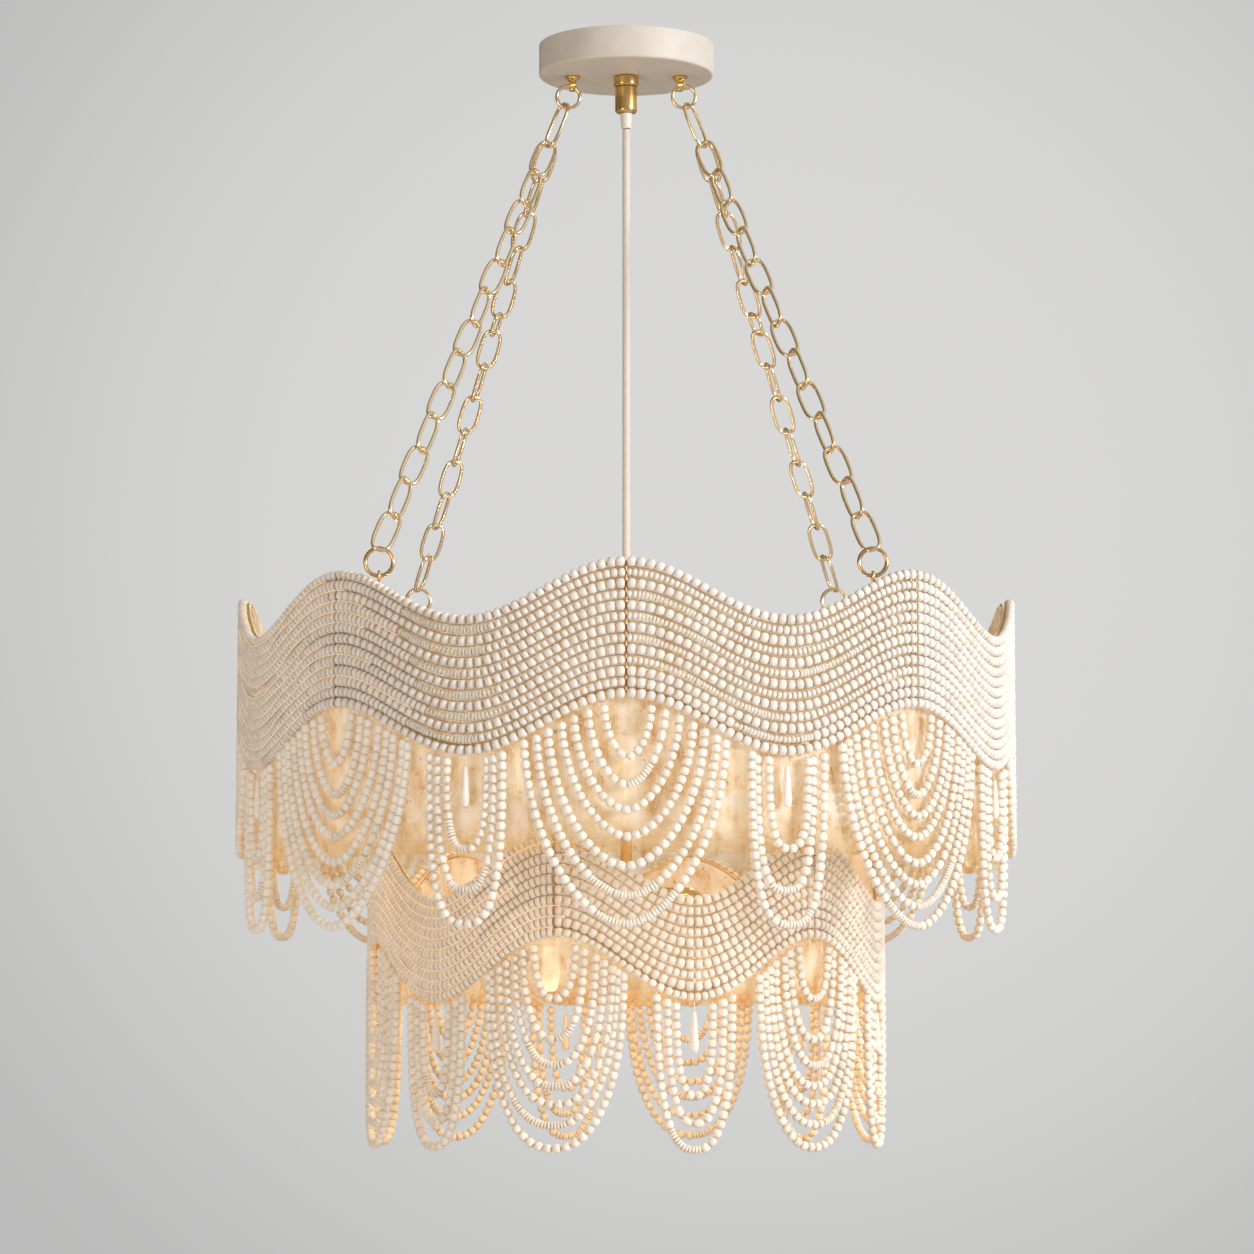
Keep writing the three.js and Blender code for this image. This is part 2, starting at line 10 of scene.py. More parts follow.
import bpy
import numpy as np
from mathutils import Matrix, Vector

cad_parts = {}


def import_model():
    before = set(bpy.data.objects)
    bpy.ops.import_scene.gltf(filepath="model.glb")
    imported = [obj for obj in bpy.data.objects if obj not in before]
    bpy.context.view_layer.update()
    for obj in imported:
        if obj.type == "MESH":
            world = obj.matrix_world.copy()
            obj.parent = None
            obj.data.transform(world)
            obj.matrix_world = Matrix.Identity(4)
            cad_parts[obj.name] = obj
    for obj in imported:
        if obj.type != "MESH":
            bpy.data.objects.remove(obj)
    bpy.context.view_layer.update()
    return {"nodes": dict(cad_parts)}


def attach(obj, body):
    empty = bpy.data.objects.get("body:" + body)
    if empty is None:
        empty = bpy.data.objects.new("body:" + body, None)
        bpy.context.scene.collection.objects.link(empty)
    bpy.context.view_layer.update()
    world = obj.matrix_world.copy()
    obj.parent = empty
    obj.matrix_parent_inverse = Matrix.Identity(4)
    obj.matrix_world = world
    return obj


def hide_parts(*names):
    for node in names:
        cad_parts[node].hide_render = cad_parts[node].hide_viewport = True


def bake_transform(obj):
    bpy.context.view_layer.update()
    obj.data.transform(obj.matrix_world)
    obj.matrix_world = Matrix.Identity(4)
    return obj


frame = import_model()

MM = 0.001
CEILING, PENDANT = "ceiling_plate", "pendant"

# Camera, floor and lights
CAMERA_PLACE = (0.0006, -3.2, -0.7732)
CAMERA_PITCH = 5.62
PHOTO_WIDTH = 1254
FOCAL_PIXELS = 4154
SENSOR = 36
FLOOR_Z, FLOOR_HALF = -2200, 7000
BRIGHT_SIDE = (0.8, -0.35, 0.5)
# Where the backdrop's painted pool of light lies and how wide it spreads, in degrees
PALE_MIDDLE, PALE_SPREAD = (0.03, 1, 0.12), 14
GLOW_POWER, GLOW_RADIUS, GLOW_COLOR = 0.66, 0.012, (1.0, 0.84, 0.64)


def stage():
    scene = bpy.context.scene
    scene.view_settings.view_transform = "Standard"
    lens = bpy.data.cameras.new("camera")
    lens.sensor_width = SENSOR
    lens.lens = FOCAL_PIXELS / PHOTO_WIDTH * SENSOR
    camera = bpy.data.objects.new("camera", lens)
    camera.location = CAMERA_PLACE
    camera.rotation_euler = (math.radians(90 + CAMERA_PITCH), 0, 0)
    scene.collection.objects.link(camera)
    scene.camera = camera

    corners = [(x * FLOOR_HALF, y * FLOOR_HALF, FLOOR_Z) for x, y in ((-1, -1), (1, -1), (1, 1), (-1, 1))]
    paper = Paint("floor_paper", (0.62, 0.62, 0.62), 0.8).material
    floor = Shape().add(corners, [range(4)]).build("floor", paper, None, None)


def add_light(name, kind, place, power, color):
    light = bpy.data.objects.new(name, bpy.data.lights.new(name, kind))
    light.data.energy = power
    light.data.color = color
    light.location = place
    bpy.context.scene.collection.objects.link(light)
    return light


def area_light(name, place, target, size, power, color=(1, 1, 1)):
    light = add_light(name, "AREA", place, power, color)
    light.data.shape = "DISK"
    light.data.size = size
    light.rotation_euler = (Vector(target) - Vector(place)).to_track_quat("-Z", "Y").to_euler()


def lights(glows):
    """A white key from the right, a warm fill from the left, a weak back light, and a glow for each lamp."""
    area_light("key", (3.0, -2.0, 0.1), (0, 0, -0.6), 0.9, 86, (1, 0.99, 0.975))
    area_light("fill", (-2.4, -3.0, -0.9), (0, 0, -0.6), 1.6, 38, (1, 0.87, 0.75))
    area_light("back", (0.6, 3.0, 0.8), (0, 0, -0.5), 2.0, 12)
    for number, place in enumerate(glows):
        light = add_light(f"glow_{number + 1}", "POINT", place * MM, GLOW_POWER, GLOW_COLOR)
        light.data.shadow_soft_size = GLOW_RADIUS


# Materials
class Tree:
    """The nodes of a material or of the world, with short ways to add and join them."""

    def __init__(self, owner):
        owner.use_nodes = True
        self.nodes, self.links = owner.node_tree.nodes, owner.node_tree.links

    def feed(self, node, inputs):
        """Give each input a number, a vector or a colour, or join another node's output to it."""
        for key, value in inputs.items():
            socket = node.inputs[key]
            if isinstance(value, bpy.types.NodeSocket):
                self.links.new(value, socket)
            elif socket.type == "RGBA":
                socket.default_value = (*value, 1)
            else:
                socket.default_value = value

    def add(self, kind, inputs, output):
        """One output of a new node."""
        node = self.nodes.new(kind)
        self.feed(node, inputs)
        return node.outputs[output]

    def place(self, output="Object"):
        return self.add("ShaderNodeTexCoord", {}, output)

    def attribute(self, name):
        node = self.nodes.new("ShaderNodeAttribute")
        node.attribute_name = name
        return node.outputs["Fac"]

    def math(self, operation, *values, kind="ShaderNodeMath", output="Value"):
        node = self.nodes.new(kind)
        node.operation = operation
        self.feed(node, dict(enumerate(values)))
        return node.outputs[output]

    def vector_math(self, operation, *values, output="Vector"):
        return self.math(operation, *values, kind="ShaderNodeVectorMath", output=output)

    def map_range(self, value, start, end, low=0.0, high=1.0, smooth=False):
        """The value, brought from start and end to low and high."""
        node = self.nodes.new("ShaderNodeMapRange")
        node.interpolation_type = "SMOOTHSTEP" if smooth else "LINEAR"
        self.feed(node, {"Value": value, "From Min": start, "From Max": end, "To Min": low, "To Max": high})
        return node.outputs["Result"]

    def noise(self, scale, detail=3.0, stretch=(1, 1, 1)):
        """Outputs of a noise in the object's own coordinates. Scale is in features per metre."""
        node = self.nodes.new("ShaderNodeTexNoise")
        place = self.add("ShaderNodeMapping", {"Vector": self.place(), "Scale": stretch}, "Vector")
        self.feed(node, {"Vector": place, "Scale": scale, "Detail": detail})
        return node.outputs

    def ramp(self, value, stops):
        """Colours at places from 0 to 1 along a value."""
        node = self.nodes.new("ShaderNodeValToRGB")
        self.feed(node, {"Fac": value})
        elements = node.color_ramp.elements
        while len(elements) < len(stops):
            elements.new(0.5)
        for element, (place, color) in zip(elements, stops):
            element.position = place
            element.color = (*color, 1)
        return node.outputs["Color"]

    def tinted(self, share, color, tint, blend="MULTIPLY"):
        """The colour with a tint laid over it by a share."""
        node = self.nodes.new("ShaderNodeMixRGB")
        node.blend_type = blend
        self.feed(node, {"Fac": share, "Color1": color, "Color2": tint})
        return node.outputs["Color"]

    def bump(self, height, distance, strength):
        inputs = {"Height": height, "Distance": distance, "Strength": strength}
        return self.add("ShaderNodeBump", inputs, "Normal")

    def between(self, share, first, second):
        """Two shaders, mixed by the share of the second."""
        return self.add("ShaderNodeMixShader", {"Fac": share, 1: first, 2: second}, "Shader")


class Paint(Tree):
    """A material with one principled shader."""

    def __init__(self, name, color, roughness, metallic=0.0):
        self.material = bpy.data.materials.new(name)
        super().__init__(self.material)
        self.shader = self.nodes["Principled BSDF"]
        self.shade({"Base Color": color, "Roughness": roughness, "Metallic": metallic})

    def shade(self, inputs):
        self.feed(self.shader, inputs)
        return self.material


def world():
    """Light from all sides, brightest on the right, and the grey backdrop with a painted pool of light in its
    middle.
    """
    made = bpy.data.worlds.new("studio")
    bpy.context.scene.world = made
    tree = Tree(made)
    tree.nodes.clear()
    way = tree.place("Generated")
    side = tree.vector_math("DOT_PRODUCT", way, Vector(BRIGHT_SIDE).normalized(), output="Value")
    level = tree.ramp(tree.map_range(side, -1, 1), [
        (0, (0.20, 0.16, 0.13)),
        (0.35, (0.30, 0.25, 0.20)),
        (0.75, (0.62, 0.59, 0.55)),
        (1, (1.1, 1.1, 1.08)),
    ])
    light = tree.add("ShaderNodeBackground", {"Color": level, "Strength": 0.8}, "Background")
    # A painted pool of light in the middle of the backdrop
    middle = tree.vector_math("DOT_PRODUCT", way, Vector(PALE_MIDDLE).normalized(), output="Value")
    share = tree.map_range(middle, math.cos(math.radians(PALE_SPREAD)), 1, smooth=True)
    grey = tree.ramp(share, [(0, (0.50, 0.498, 0.497)), (1, (0.69, 0.685, 0.68))])
    backdrop = tree.add("ShaderNodeBackground", {"Color": grey}, "Background")
    path = tree.nodes.new("ShaderNodeLightPath").outputs
    seen = tree.math("MAXIMUM", path["Is Camera Ray"], path["Is Transmission Ray"])
    tree.feed(tree.nodes.new("ShaderNodeOutputWorld"), {"Surface": tree.between(seen, light, backdrop)})


def inward(paint):
    """1 on faces that look towards the lamps in the middle, 0 on faces that look outwards. It masks the
    beads' painted lamplight.
    """
    out = paint.vector_math("NORMALIZE", paint.vector_math("MULTIPLY", paint.place(), (1, 1, 0)))
    facing = paint.vector_math("DOT_PRODUCT", paint.place("Normal"), out, output="Value")
    return paint.map_range(facing, 0.3, -0.5, smooth=True)


def bead_paint(name, pale, deep, painted_lamplight, painted_glow):
    """Washed wood, darker round the holes: partly bare wood, partly painted shade between beads. Each bead
    has its own tone, painted amber lamplight on the faces towards the lamps, and a painted glow.
    """
    paint = Paint(name, pale, 0.5)
    colors = paint.ramp(paint.attribute("tone"), [(0, deep), (0.45, pale), (1, pale)])
    grain = paint.noise(420, 5)["Fac"]
    shade = paint.ramp(grain, [(0.3, (0.90, 0.87, 0.83)), (0.62, (1, 1, 1))])
    # Darker round the holes: partly bare wood, partly painted shade in the gaps between beads
    bare_wood_and_shade = paint.ramp(paint.attribute("hole"), [(0.2, (1, 1, 1)), (0.9, (0.79, 0.68, 0.55))])
    grained = paint.tinted(1.0, paint.tinted(0.7, colors, shade), bare_wood_and_shade)
    return paint.shade({
        # Painted lamplight: the beads turn amber on the faces towards the lamps
        "Base Color": paint.tinted(inward(paint), grained, painted_lamplight),
        "Roughness": paint.map_range(grain, 0, 1, 0.42, 0.66),
        "Normal": paint.bump(grain, 0.0003, 0.5),
        "Subsurface Weight": 0.06,
        "Subsurface Scale": 0.003,
        "Subsurface Radius": (1, 0.7, 0.45),
        "Specular IOR Level": 0.35,
        # Painted glow: the beads give off light as if the lamps shone through them
        "Emission Color": (1, 0.78, 0.55),
        "Emission Strength": painted_glow,
    })


def clear_glass(name):
    paint = Paint(name, (0.97, 0.90, 0.78), 0.12)
    cloud = paint.noise(300)["Fac"]
    return paint.shade({
        "Base Color": paint.ramp(cloud, [(0.3, (0.92, 0.83, 0.68)), (0.6, (1, 0.97, 0.91))]),
        "Transmission Weight": 0.3,
        "IOR": 1.5,
    })


def darker(color, share):
    return tuple(share * part for part in color)


def brushed_metal(name, color, smoothest, roughest, painted_glow=0.0):
    paint = Paint(name, color, smoothest, 1.0)
    marks = paint.noise(90, 4)["Fac"]
    return paint.shade({
        "Base Color": paint.ramp(marks, [(0.25, darker(color, 0.93)), (0.7, color)]),
        "Roughness": paint.map_range(marks, 0, 1, smoothest, roughest),
        "Normal": paint.bump(marks, 0.0001, 0.03),
        # A painted glow, for the wires that are to look lit from behind through the gaps
        "Emission Color": (1, 0.78, 0.57),
        "Emission Strength": painted_glow,
    })


def painted(name, color, roughness):
    paint = Paint(name, color, roughness)
    cloud = paint.noise(55, 5)["Fac"]
    return paint.shade({
        "Base Color": paint.ramp(cloud, [(0.3, darker(color, 0.93)), (0.65, color)]),
        "Roughness": paint.map_range(cloud, 0, 1, roughness - 0.08, roughness + 0.08),
        "Normal": paint.bump(paint.noise(900, 2)["Fac"], 0.0001, 0.35),
    })


def parchment(tier, sheer, fading):
    """Thin sheet, lit from behind: mottled, crackled, with brown specks, and clearer near its bottom edge.

    sheer is how much of what is behind shows through, and fading is the height of the clearer edge.
    """
    paint = Paint(f"parchment_{tier.name}", (0.9, 0.75, 0.5), 0.35)
    mottle = paint.noise(85, 8, (1, 1, 0.7))
    strands = paint.noise(240, 4, (1, 1, 0.06))["Fac"]
    both = paint.math("MULTIPLY_ADD", strands, 0.3, paint.math("MULTIPLY", mottle["Fac"], 0.7))
    colors = paint.ramp(both, [
        (0.37, (0.72, 0.52, 0.29)),
        (0.45, (0.85, 0.71, 0.50)),
        (0.52, (0.91, 0.83, 0.70)),
        (0.60, (0.96, 0.93, 0.87)),
    ])
    place = paint.place()
    cracks = paint.nodes.new("ShaderNodeTexVoronoi")
    cracks.feature = "DISTANCE_TO_EDGE"
    bent = paint.vector_math("MULTIPLY_ADD", mottle["Color"], (0.03, 0.03, 0.03), place)
    paint.feed(cracks, {"Scale": 150, "Vector": bent})
    lines = paint.ramp(cracks.outputs["Distance"], [(0, (0.6, 0.6, 0.6)), (0.12, (0, 0, 0))])
    crackled = paint.tinted(lines, colors, (1, 0.97, 0.9), "MIX")
    specks = paint.ramp(paint.noise(190)["Fac"], [(0.27, (0.42, 0.24, 0.08)), (0.33, (1, 1, 1))])
    flecked = paint.tinted(0.8, crackled, specks)
    paint.shade({
        "Base Color": flecked,
        # The emission is a painted glow of the lamps behind the sheet
        "Emission Color": flecked,
        "Emission Strength": 0.10,
        "Normal": paint.bump(both, 0.0012, 0.6),
    })
    through = paint.add("ShaderNodeBsdfTranslucent", {"Color": flecked}, "BSDF")
    sheet = paint.between(0.5, paint.shader.outputs["BSDF"], through)
    clear = paint.add("ShaderNodeBsdfTransparent", {"Color": (1.0, 0.93, 0.80)}, "BSDF")
    height = paint.add("ShaderNodeSeparateXYZ", {"Vector": place}, "Z")
    bottom_z = tier.liner_bottom_z
    share = paint.map_range(height, (bottom_z + fading) * MM, bottom_z * MM, sheer, 0.9, smooth=True)
    paint.feed(paint.nodes["Material Output"], {"Surface": paint.between(share, sheet, clear)})
    return paint.material


def braided(name, color):
    paint = Paint(name, color, 0.75)
    waves = []
    for tilt in (35, -35):
        rotation = (0, math.radians(tilt), 0)
        place = paint.add("ShaderNodeMapping", {"Vector": paint.place(), "Rotation": rotation}, "Vector")
        wave = paint.nodes.new("ShaderNodeTexWave")
        wave.bands_direction = "Z"
        paint.feed(wave, {"Scale": 420, "Vector": place})
        waves.append(wave.outputs["Fac"])
    both = paint.math("MULTIPLY", *waves)
    return paint.shade({
        "Base Color": paint.ramp(both, [(0, darker(color, 0.92)), (0.6, color)]),
        "Normal": paint.bump(both, 0.0003, 0.6),
    })


def lamp_glass(name, color, strength):
    paint = Paint(name, (1, 0.95, 0.85), 0.25)
    cloud = paint.noise(120)["Fac"]
    return paint.shade({
        "Emission Color": paint.ramp(cloud, [(0.3, darker(color, 0.9)), (0.7, color)]),
        "Emission Strength": strength,
    })


# Shapes, as arrays of corners and faces
CREASE = 38
AXIS_RADIUS = 1e-4


def unit(vectors):
    return vectors / np.linalg.norm(vectors, axis=-1, keepdims=True)


class Shape:
    """Corners and faces gathered into one mesh. Each corner has a tone and how much it darkens near a bead's
    hole, partly bare wood and partly painted shade.
    """

    def __init__(self):
        self.corners, self.loops, self.sizes, self.count = [], [], [], 0
        self.tones, self.holes = [], []

    def add(self, corners, *face_groups, tones=0.5, holes=0):
        corners = np.asarray(corners, float).reshape(-1, 3)
        for faces in face_groups:
            faces = np.asarray(faces, int)
            self.loops.append((faces + self.count).ravel())
            self.sizes.append(np.full(len(faces), faces.shape[1]))
        self.corners.append(corners)
        self.tones.append(np.broadcast_to(tones, len(corners)).astype(np.float32))
        self.holes.append(np.broadcast_to(holes, len(corners)).astype(np.float32))
        self.count += len(corners)
        return self

    def build(self, name, material, body, slot, replaces=()):
        corners, loops, sizes = (np.concatenate(x) for x in (self.corners, self.loops, self.sizes))
        mesh = bpy.data.meshes.new(name)
        mesh.vertices.add(len(corners))
        mesh.vertices.foreach_set("co", (corners * MM).astype(np.float32).ravel())
        mesh.loops.add(len(loops))
        mesh.loops.foreach_set("vertex_index", loops.astype(np.int32))
        mesh.polygons.add(len(sizes))
        mesh.polygons.foreach_set("loop_start", (np.cumsum(sizes) - sizes).astype(np.int32))
        mesh.update(calc_edges=True)
        mesh.shade_smooth()
        mesh.set_sharp_from_angle(angle=math.radians(CREASE))
        for label, values in (("tone", self.tones), ("hole", self.holes)):
            attribute = mesh.attributes.new(label, "FLOAT", "POINT")
            attribute.data.foreach_set("value", np.concatenate(values))
        mesh.materials.append(material)
        piece = bpy.data.objects.new(name, mesh)
        bpy.context.scene.collection.objects.link(piece)
        if body:
            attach(piece, body)
        if replaces:
            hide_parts(*replaces)
        return piece


def grid_faces(rows, columns, closed=False):
    """Quads between closed rows of corners. If closed, they also join the last row to the first."""
    i = np.arange(rows if closed else rows - 1)[:, None]
    c = np.arange(columns)[None, :]
    a, b, d = i * columns, ((i + 1) % rows) * columns, (c + 1) % columns
    return np.stack([a + c, a + d, b + d, b + c], -1).reshape(-1, 4)


def circle_angles(sides):
    return np.linspace(0, 2 * math.pi, sides, endpoint=False)


def lathe(shape, profile, sides, centre=(0, 0, 0), tones=0.5):
    """A profile of (radius, z) turned about z."""
    profile = np.asarray(profile, float)
    turn = circle_angles(sides)
    radius = np.maximum(profile[:, 0], AXIS_RADIUS)[:, None]
    heights = np.repeat(profile[:, 1:], sides, 1)
    corners = np.stack([radius * np.sin(turn), -radius * np.cos(turn), heights], -1).reshape(-1, 3) + centre
    return shape.add(corners, grid_faces(len(profile), sides), tones=tones)


def rounded(profile, radius, steps=4):
    """The profile with the corners between its ends rounded."""
    profile = [np.asarray(p, float) for p in profile]
    made = [profile[0]]
    for before, corner, after in zip(profile, profile[1:], profile[2:]):
        reach = min(radius, np.linalg.norm(corner - before) / 2, np.linalg.norm(after - corner) / 2)
        start = corner + unit(before - corner) * reach
        end = corner + unit(after - corner) * reach
        for t in np.linspace(0, 1, steps + 1):
            made.append((1 - t) ** 2 * start + 2 * t * (1 - t) * corner + t**2 * end)
    return [*made, profile[-1]]


def tube(shape, points, radius, sides=10, closed=False, tones=0.5):
    """A round bar along points."""
    points = np.asarray(points, float)
    if closed:
        tangents = unit(np.roll(points, -1, 0) - np.roll(points, 1, 0))
    else:
        tangents = unit(np.gradient(points, axis=0))
    normal = np.cross(tangents[0], (0, 0, 1) if abs(tangents[0][2]) < 0.9 else (1, 0, 0))
    normals = []
    for tangent in tangents:
        normal = unit(normal - (normal @ tangent) * tangent)
        normals.append(normal)
    normals = np.array(normals)
    sides_way = np.cross(tangents, normals)
    turn = circle_angles(sides)[None, :, None]
    rings = points[:, None] + radius * (np.cos(turn) * normals[:, None] + np.sin(turn) * sides_way[:, None])
    groups = [grid_faces(len(points), sides, closed)]
    if not closed:
        last = (len(points) - 1) * sides
        groups += [range(sides)[::-1]], [range(last, last + sides)]
    return shape.add(rings.reshape(-1, 3), *groups, tones=tones)


def turned(name, profile, edge, sides, material, body, slot, node, centre=(0, 0, 0)):
    """A piece that is one profile with rounded edges, turned about z."""
    lathe(Shape(), rounded(profile, edge), sides, centre).build(name, material, body, slot, [node])


def around(radius, angle, z):
    """Points at angles round the axis."""
    turn = np.radians(angle)
    return np.stack(np.broadcast_arrays(radius * np.sin(turn), -radius * np.cos(turn), z), -1).astype(float)


def ring_points(centre, radius, side, up, steps=28):
    turn = circle_angles(steps)[:, None]
    return np.asarray(centre) + radius * (np.cos(turn) * np.asarray(side) + np.sin(turn) * np.asarray(up))


# Beads. A profile holds (radius, height) shares. A kind has a profile, a radius and a length along its hole
BEAD_SIDES = 12


def both_ends(upper_half):
    return upper_half + [(radius, -height) for radius, height in reversed(upper_half)]


ROUND_SHARES = both_ends([(0, 0.82), (0.26, 0.95), (0.54, 0.87), (0.79, 0.64), (0.96, 0.32)])
PRESSED_SHARES = both_ends([(0, 0.8), (0.30, 0.94), (0.68, 0.94), (0.90, 0.74), (1, 0.3)])
SOFT_SHARES = both_ends([(0, 0.98), (0.48, 0.98), (0.80, 0.80), (0.96, 0.42)])
DISC_SHARES = both_ends([(0, 0.7), (0.30, 0.85), (0.86, 0.85), (1, 0.40)])
BEAD_KINDS = {
    "pearl": (ROUND_SHARES, 3.6, 7.2),
    "large": (ROUND_SHARES, 3.65, 6.9),
    "medium": (ROUND_SHARES, 3.45, 6.6),
    "small": (ROUND_SHARES, 3.0, 5.4),
    "seed": (ROUND_SHARES, 2.55, 3.9),
    "rice": (ROUND_SHARES, 3.2, 9.4),
    "pressed": (PRESSED_SHARES, 3.55, 4.6),
    "tight": (SOFT_SHARES, 3.6, 6.6),
    "disc": (DISC_SHARES, 3.1, 2.5),
    "clear_seed": (ROUND_SHARES, 2.5, 3.4),
    "clear_disc": (DISC_SHARES, 2.7, 2.6),
}
# How beads of one kind differ: lean of the axis, least shares of the width, ends of the shares of the length
LEAN, LEAST_WIDTH_SHARE, LEAST_PRESSED_SHARE, LENGTH_SHARES = 0.05, 0.94, 0.9, (0.96, 1.01)
# Shares of a bead's half length where and over which its ends darken, and how much on tight beads: partly
# bare wood round the hole, partly painted shade in the gaps between beads
WEAR_AND_SHADE_FROM_SHARE, WEAR_AND_SHADE_REACH_SHARE, TIGHT_WEAR_AND_SHADE_SHARE = 0.65, 0.3, 0.35
TANGENT_STEP = 0.5


def bead_template(shares):
    """A bead of radius 1 and half length 1 about the z axis: corners, quads and end triangles."""
    turn = circle_angles(BEAD_SIDES)
    inner = np.array(shares[1:-1])
    rings = np.stack([
        inner[:, :1] * np.cos(turn), inner[:, :1] * np.sin(turn), np.repeat(inner[:, 1:], BEAD_SIDES, 1),
    ], -1).reshape(-1, 3)
    corners = np.vstack([rings, (0, 0, shares[0][1]), (0, 0, shares[-1][1])])
    quads = grid_faces(len(inner), BEAD_SIDES)[:, ::-1]
    first = np.arange(BEAD_SIDES)
    following = (first + 1) % BEAD_SIDES
    last = (len(inner) - 1) * BEAD_SIDES
    poles = len(rings)
    caps = np.vstack([
        np.stack([np.full(BEAD_SIDES, poles), first, following], -1),
        np.stack([np.full(BEAD_SIDES, poles + 1), last + following, last + first], -1),
    ])
    return corners, quads, caps


TEMPLATES = {kind: bead_template(facts[0]) for kind, facts in BEAD_KINDS.items()}


def thread_kinds(kind_at, length, end_gap):
    """The kind of each bead along a line, and their lengths, stretched a little to fill it."""
    room = length - 2 * end_gap
    kinds, lengths, passed = [], [], 0.0
    while passed < room:
        kind = kind_at((end_gap + passed) / length)
        kinds.append(kind)
        lengths.append(BEAD_KINDS[kind][2])
        passed += lengths[-1]
    fit = room / passed
    return np.array(kinds), np.array(lengths) * fit


def string_beads(shape, line, kind_at, draw, end_gap, fullness=None, clear=None):
    """Beads threaded along a line of close points, each as wide and long as its kind.

    kind_at and fullness tell a bead's kind and its extra width at a share of the line.
    clear is the shape that takes the beads of clear glass.
    """
    steps = np.linalg.norm(np.diff(line, axis=0), axis=1)
    reach = np.concatenate([[0], np.cumsum(steps)])
    kinds, lengths = thread_kinds(kind_at, reach[-1], end_gap)
    middles = end_gap + np.cumsum(lengths) - lengths / 2

    def points(passed):
        return np.stack([np.interp(passed, reach, line[:, i]) for i in range(3)], -1)

    places = points(middles)
    axes = unit(points(middles + TANGENT_STEP) - points(middles - TANGENT_STEP))
    outs = unit(places * (1, 1, 0))
    full = fullness(middles / reach[-1]) if fullness else np.ones(len(middles))
    for kind in sorted(set(kinds)):
        chosen = np.flatnonzero(kinds == kind)
        corners, quads, caps = TEMPLATES[kind]
        count = len(chosen)
        lean = np.array([[draw.gauss(0, LEAN) for _ in range(3)] for _ in range(count)])
        axis = unit(axes[chosen] + lean)
        side = unit(np.cross(axis, outs[chosen]))
        out = np.cross(side, axis)
        least = LEAST_PRESSED_SHARE if kind == "pressed" else LEAST_WIDTH_SHARE
        widths = np.array([BEAD_KINDS[kind][1] * draw.uniform(least, 1.0) for _ in range(count)])
        widths *= full[chosen]
        halves = lengths[chosen] / 2 * np.array([draw.uniform(*LENGTH_SHARES) for _ in range(count)])
        shaped = (
            corners[None, :, :1] * widths[:, None, None] * side[:, None]
            + corners[None, :, 1:2] * widths[:, None, None] * out[:, None]
            + corners[None, :, 2:] * halves[:, None, None] * axis[:, None]
        )
        placed = (places[chosen][:, None] + shaped).reshape(-1, 3)
        shift = (np.arange(count) * len(corners))[:, None, None]
        tones = np.repeat([draw.random() for _ in range(count)], len(corners))
        # Each bead darkens towards its ends: partly bare wood round the hole, partly painted shade between
        # touching beads
        end_wear_and_shade = np.clip((np.abs(corners[:, 2]) - WEAR_AND_SHADE_FROM_SHARE) / WEAR_AND_SHADE_REACH_SHARE, 0, 1)
        holes = np.tile(end_wear_and_shade * (TIGHT_WEAR_AND_SHADE_SHARE if kind == "tight" else 1), count)
        target = clear if clear and kind.startswith("clear") else shape
        faces = (quads[None] + shift).reshape(-1, 4), (caps[None] + shift).reshape(-1, 3)
        target.add(placed, *faces, tones=tones, holes=holes)


# The two tiers
BEAD = 7.2
FRAME_WIRE = 1.4
GAP = 0.3
LINER_WALL = 1.6
# Bead width of a row where it runs level, as a share of the kind's width
ROW_FULLNESS = 1.12


@dataclass
class Tier:
    """A band of bead rows that follow a waved rim, with its frame and liner inside."""

    name: str
    radius: float
    waves: int
    first_crest: float
    crest_z: float
    wave_height: float
    rows: int
    row_pitch: float
    liner_bottom_z: float

    def __post_init__(self):
        self.line_radius = self.radius - BEAD / 2
        self.row_radius = self.radius - BEAD / 2 * ROW_FULLNESS
        self.frame_radius = self.radius - BEAD - GAP - FRAME_WIRE
        self.band_height = self.rows * self.row_pitch
        self.step = 360 / self.waves

    def rim(self, angle):
        wave = np.cos(self.waves * np.radians(np.asarray(angle) - self.first_crest))
        return self.crest_z + self.wave_height / 2 * (wave - 1)

    def row_fullness(self, share):
        """Rows come closer together on the slopes of the wave, and their beads are smaller there."""
        steepness = self.wave_height / 2 * self.waves / self.radius * np.sin(2 * math.pi * share)
        return ROW_FULLNESS / np.sqrt(1 + steepness**2)

    def line(self, radius, drop, start, end, steps):
        """Points round the tier at a fixed drop below its waved rim."""
        angles = np.linspace(start, end, steps)
        return around(radius, angles, self.rim(angles) - drop)

    def crests(self):
        return [self.first_crest + i * self.step for i in range(self.waves)]


UPPER = Tier(
    "upper", radius=300, waves=8, first_crest=0, crest_z=-437, wave_height=39,
    rows=13, row_pitch=7.75, liner_bottom_z=-645,
)
LOWER = Tier(
    "lower", radius=199.5, waves=6, first_crest=-15.5, crest_z=-625.5, wave_height=46.5,
    rows=10, row_pitch=7.7, liner_bottom_z=-749.5,
)

# Angles between which the bands have round beads. Elsewhere they are pressed together
ROUND_BEADS = {"upper": (-33, 45), "lower": (-15.5, 46)}
# Where the round beads start in each row of the upper band
FIRST_ROUND = [-75, -26, -46, -29, -38, -24, -43, -28, -35, -23, -40, -27, -45]
# Stretches of clear beads in the upper band: row, first and last angle
CLEAR_STRETCHES = [
    (1, -33, -19), (3, -34, -20), (5, -31, -23), (7, -30, -18), (9, -29, -17), (11, -32, -21),
    (3, 1, 9), (5, 1, 12), (7, 1, 8), (9, 4, 22), (11, 14, 26), (5, 24, 33), (1, 96, 110), (5, 100, 116),
    (9, 130, 150), (3, 176, 196), (7, 204, 220), (11, 240, 262), (5, 284, 300),
]
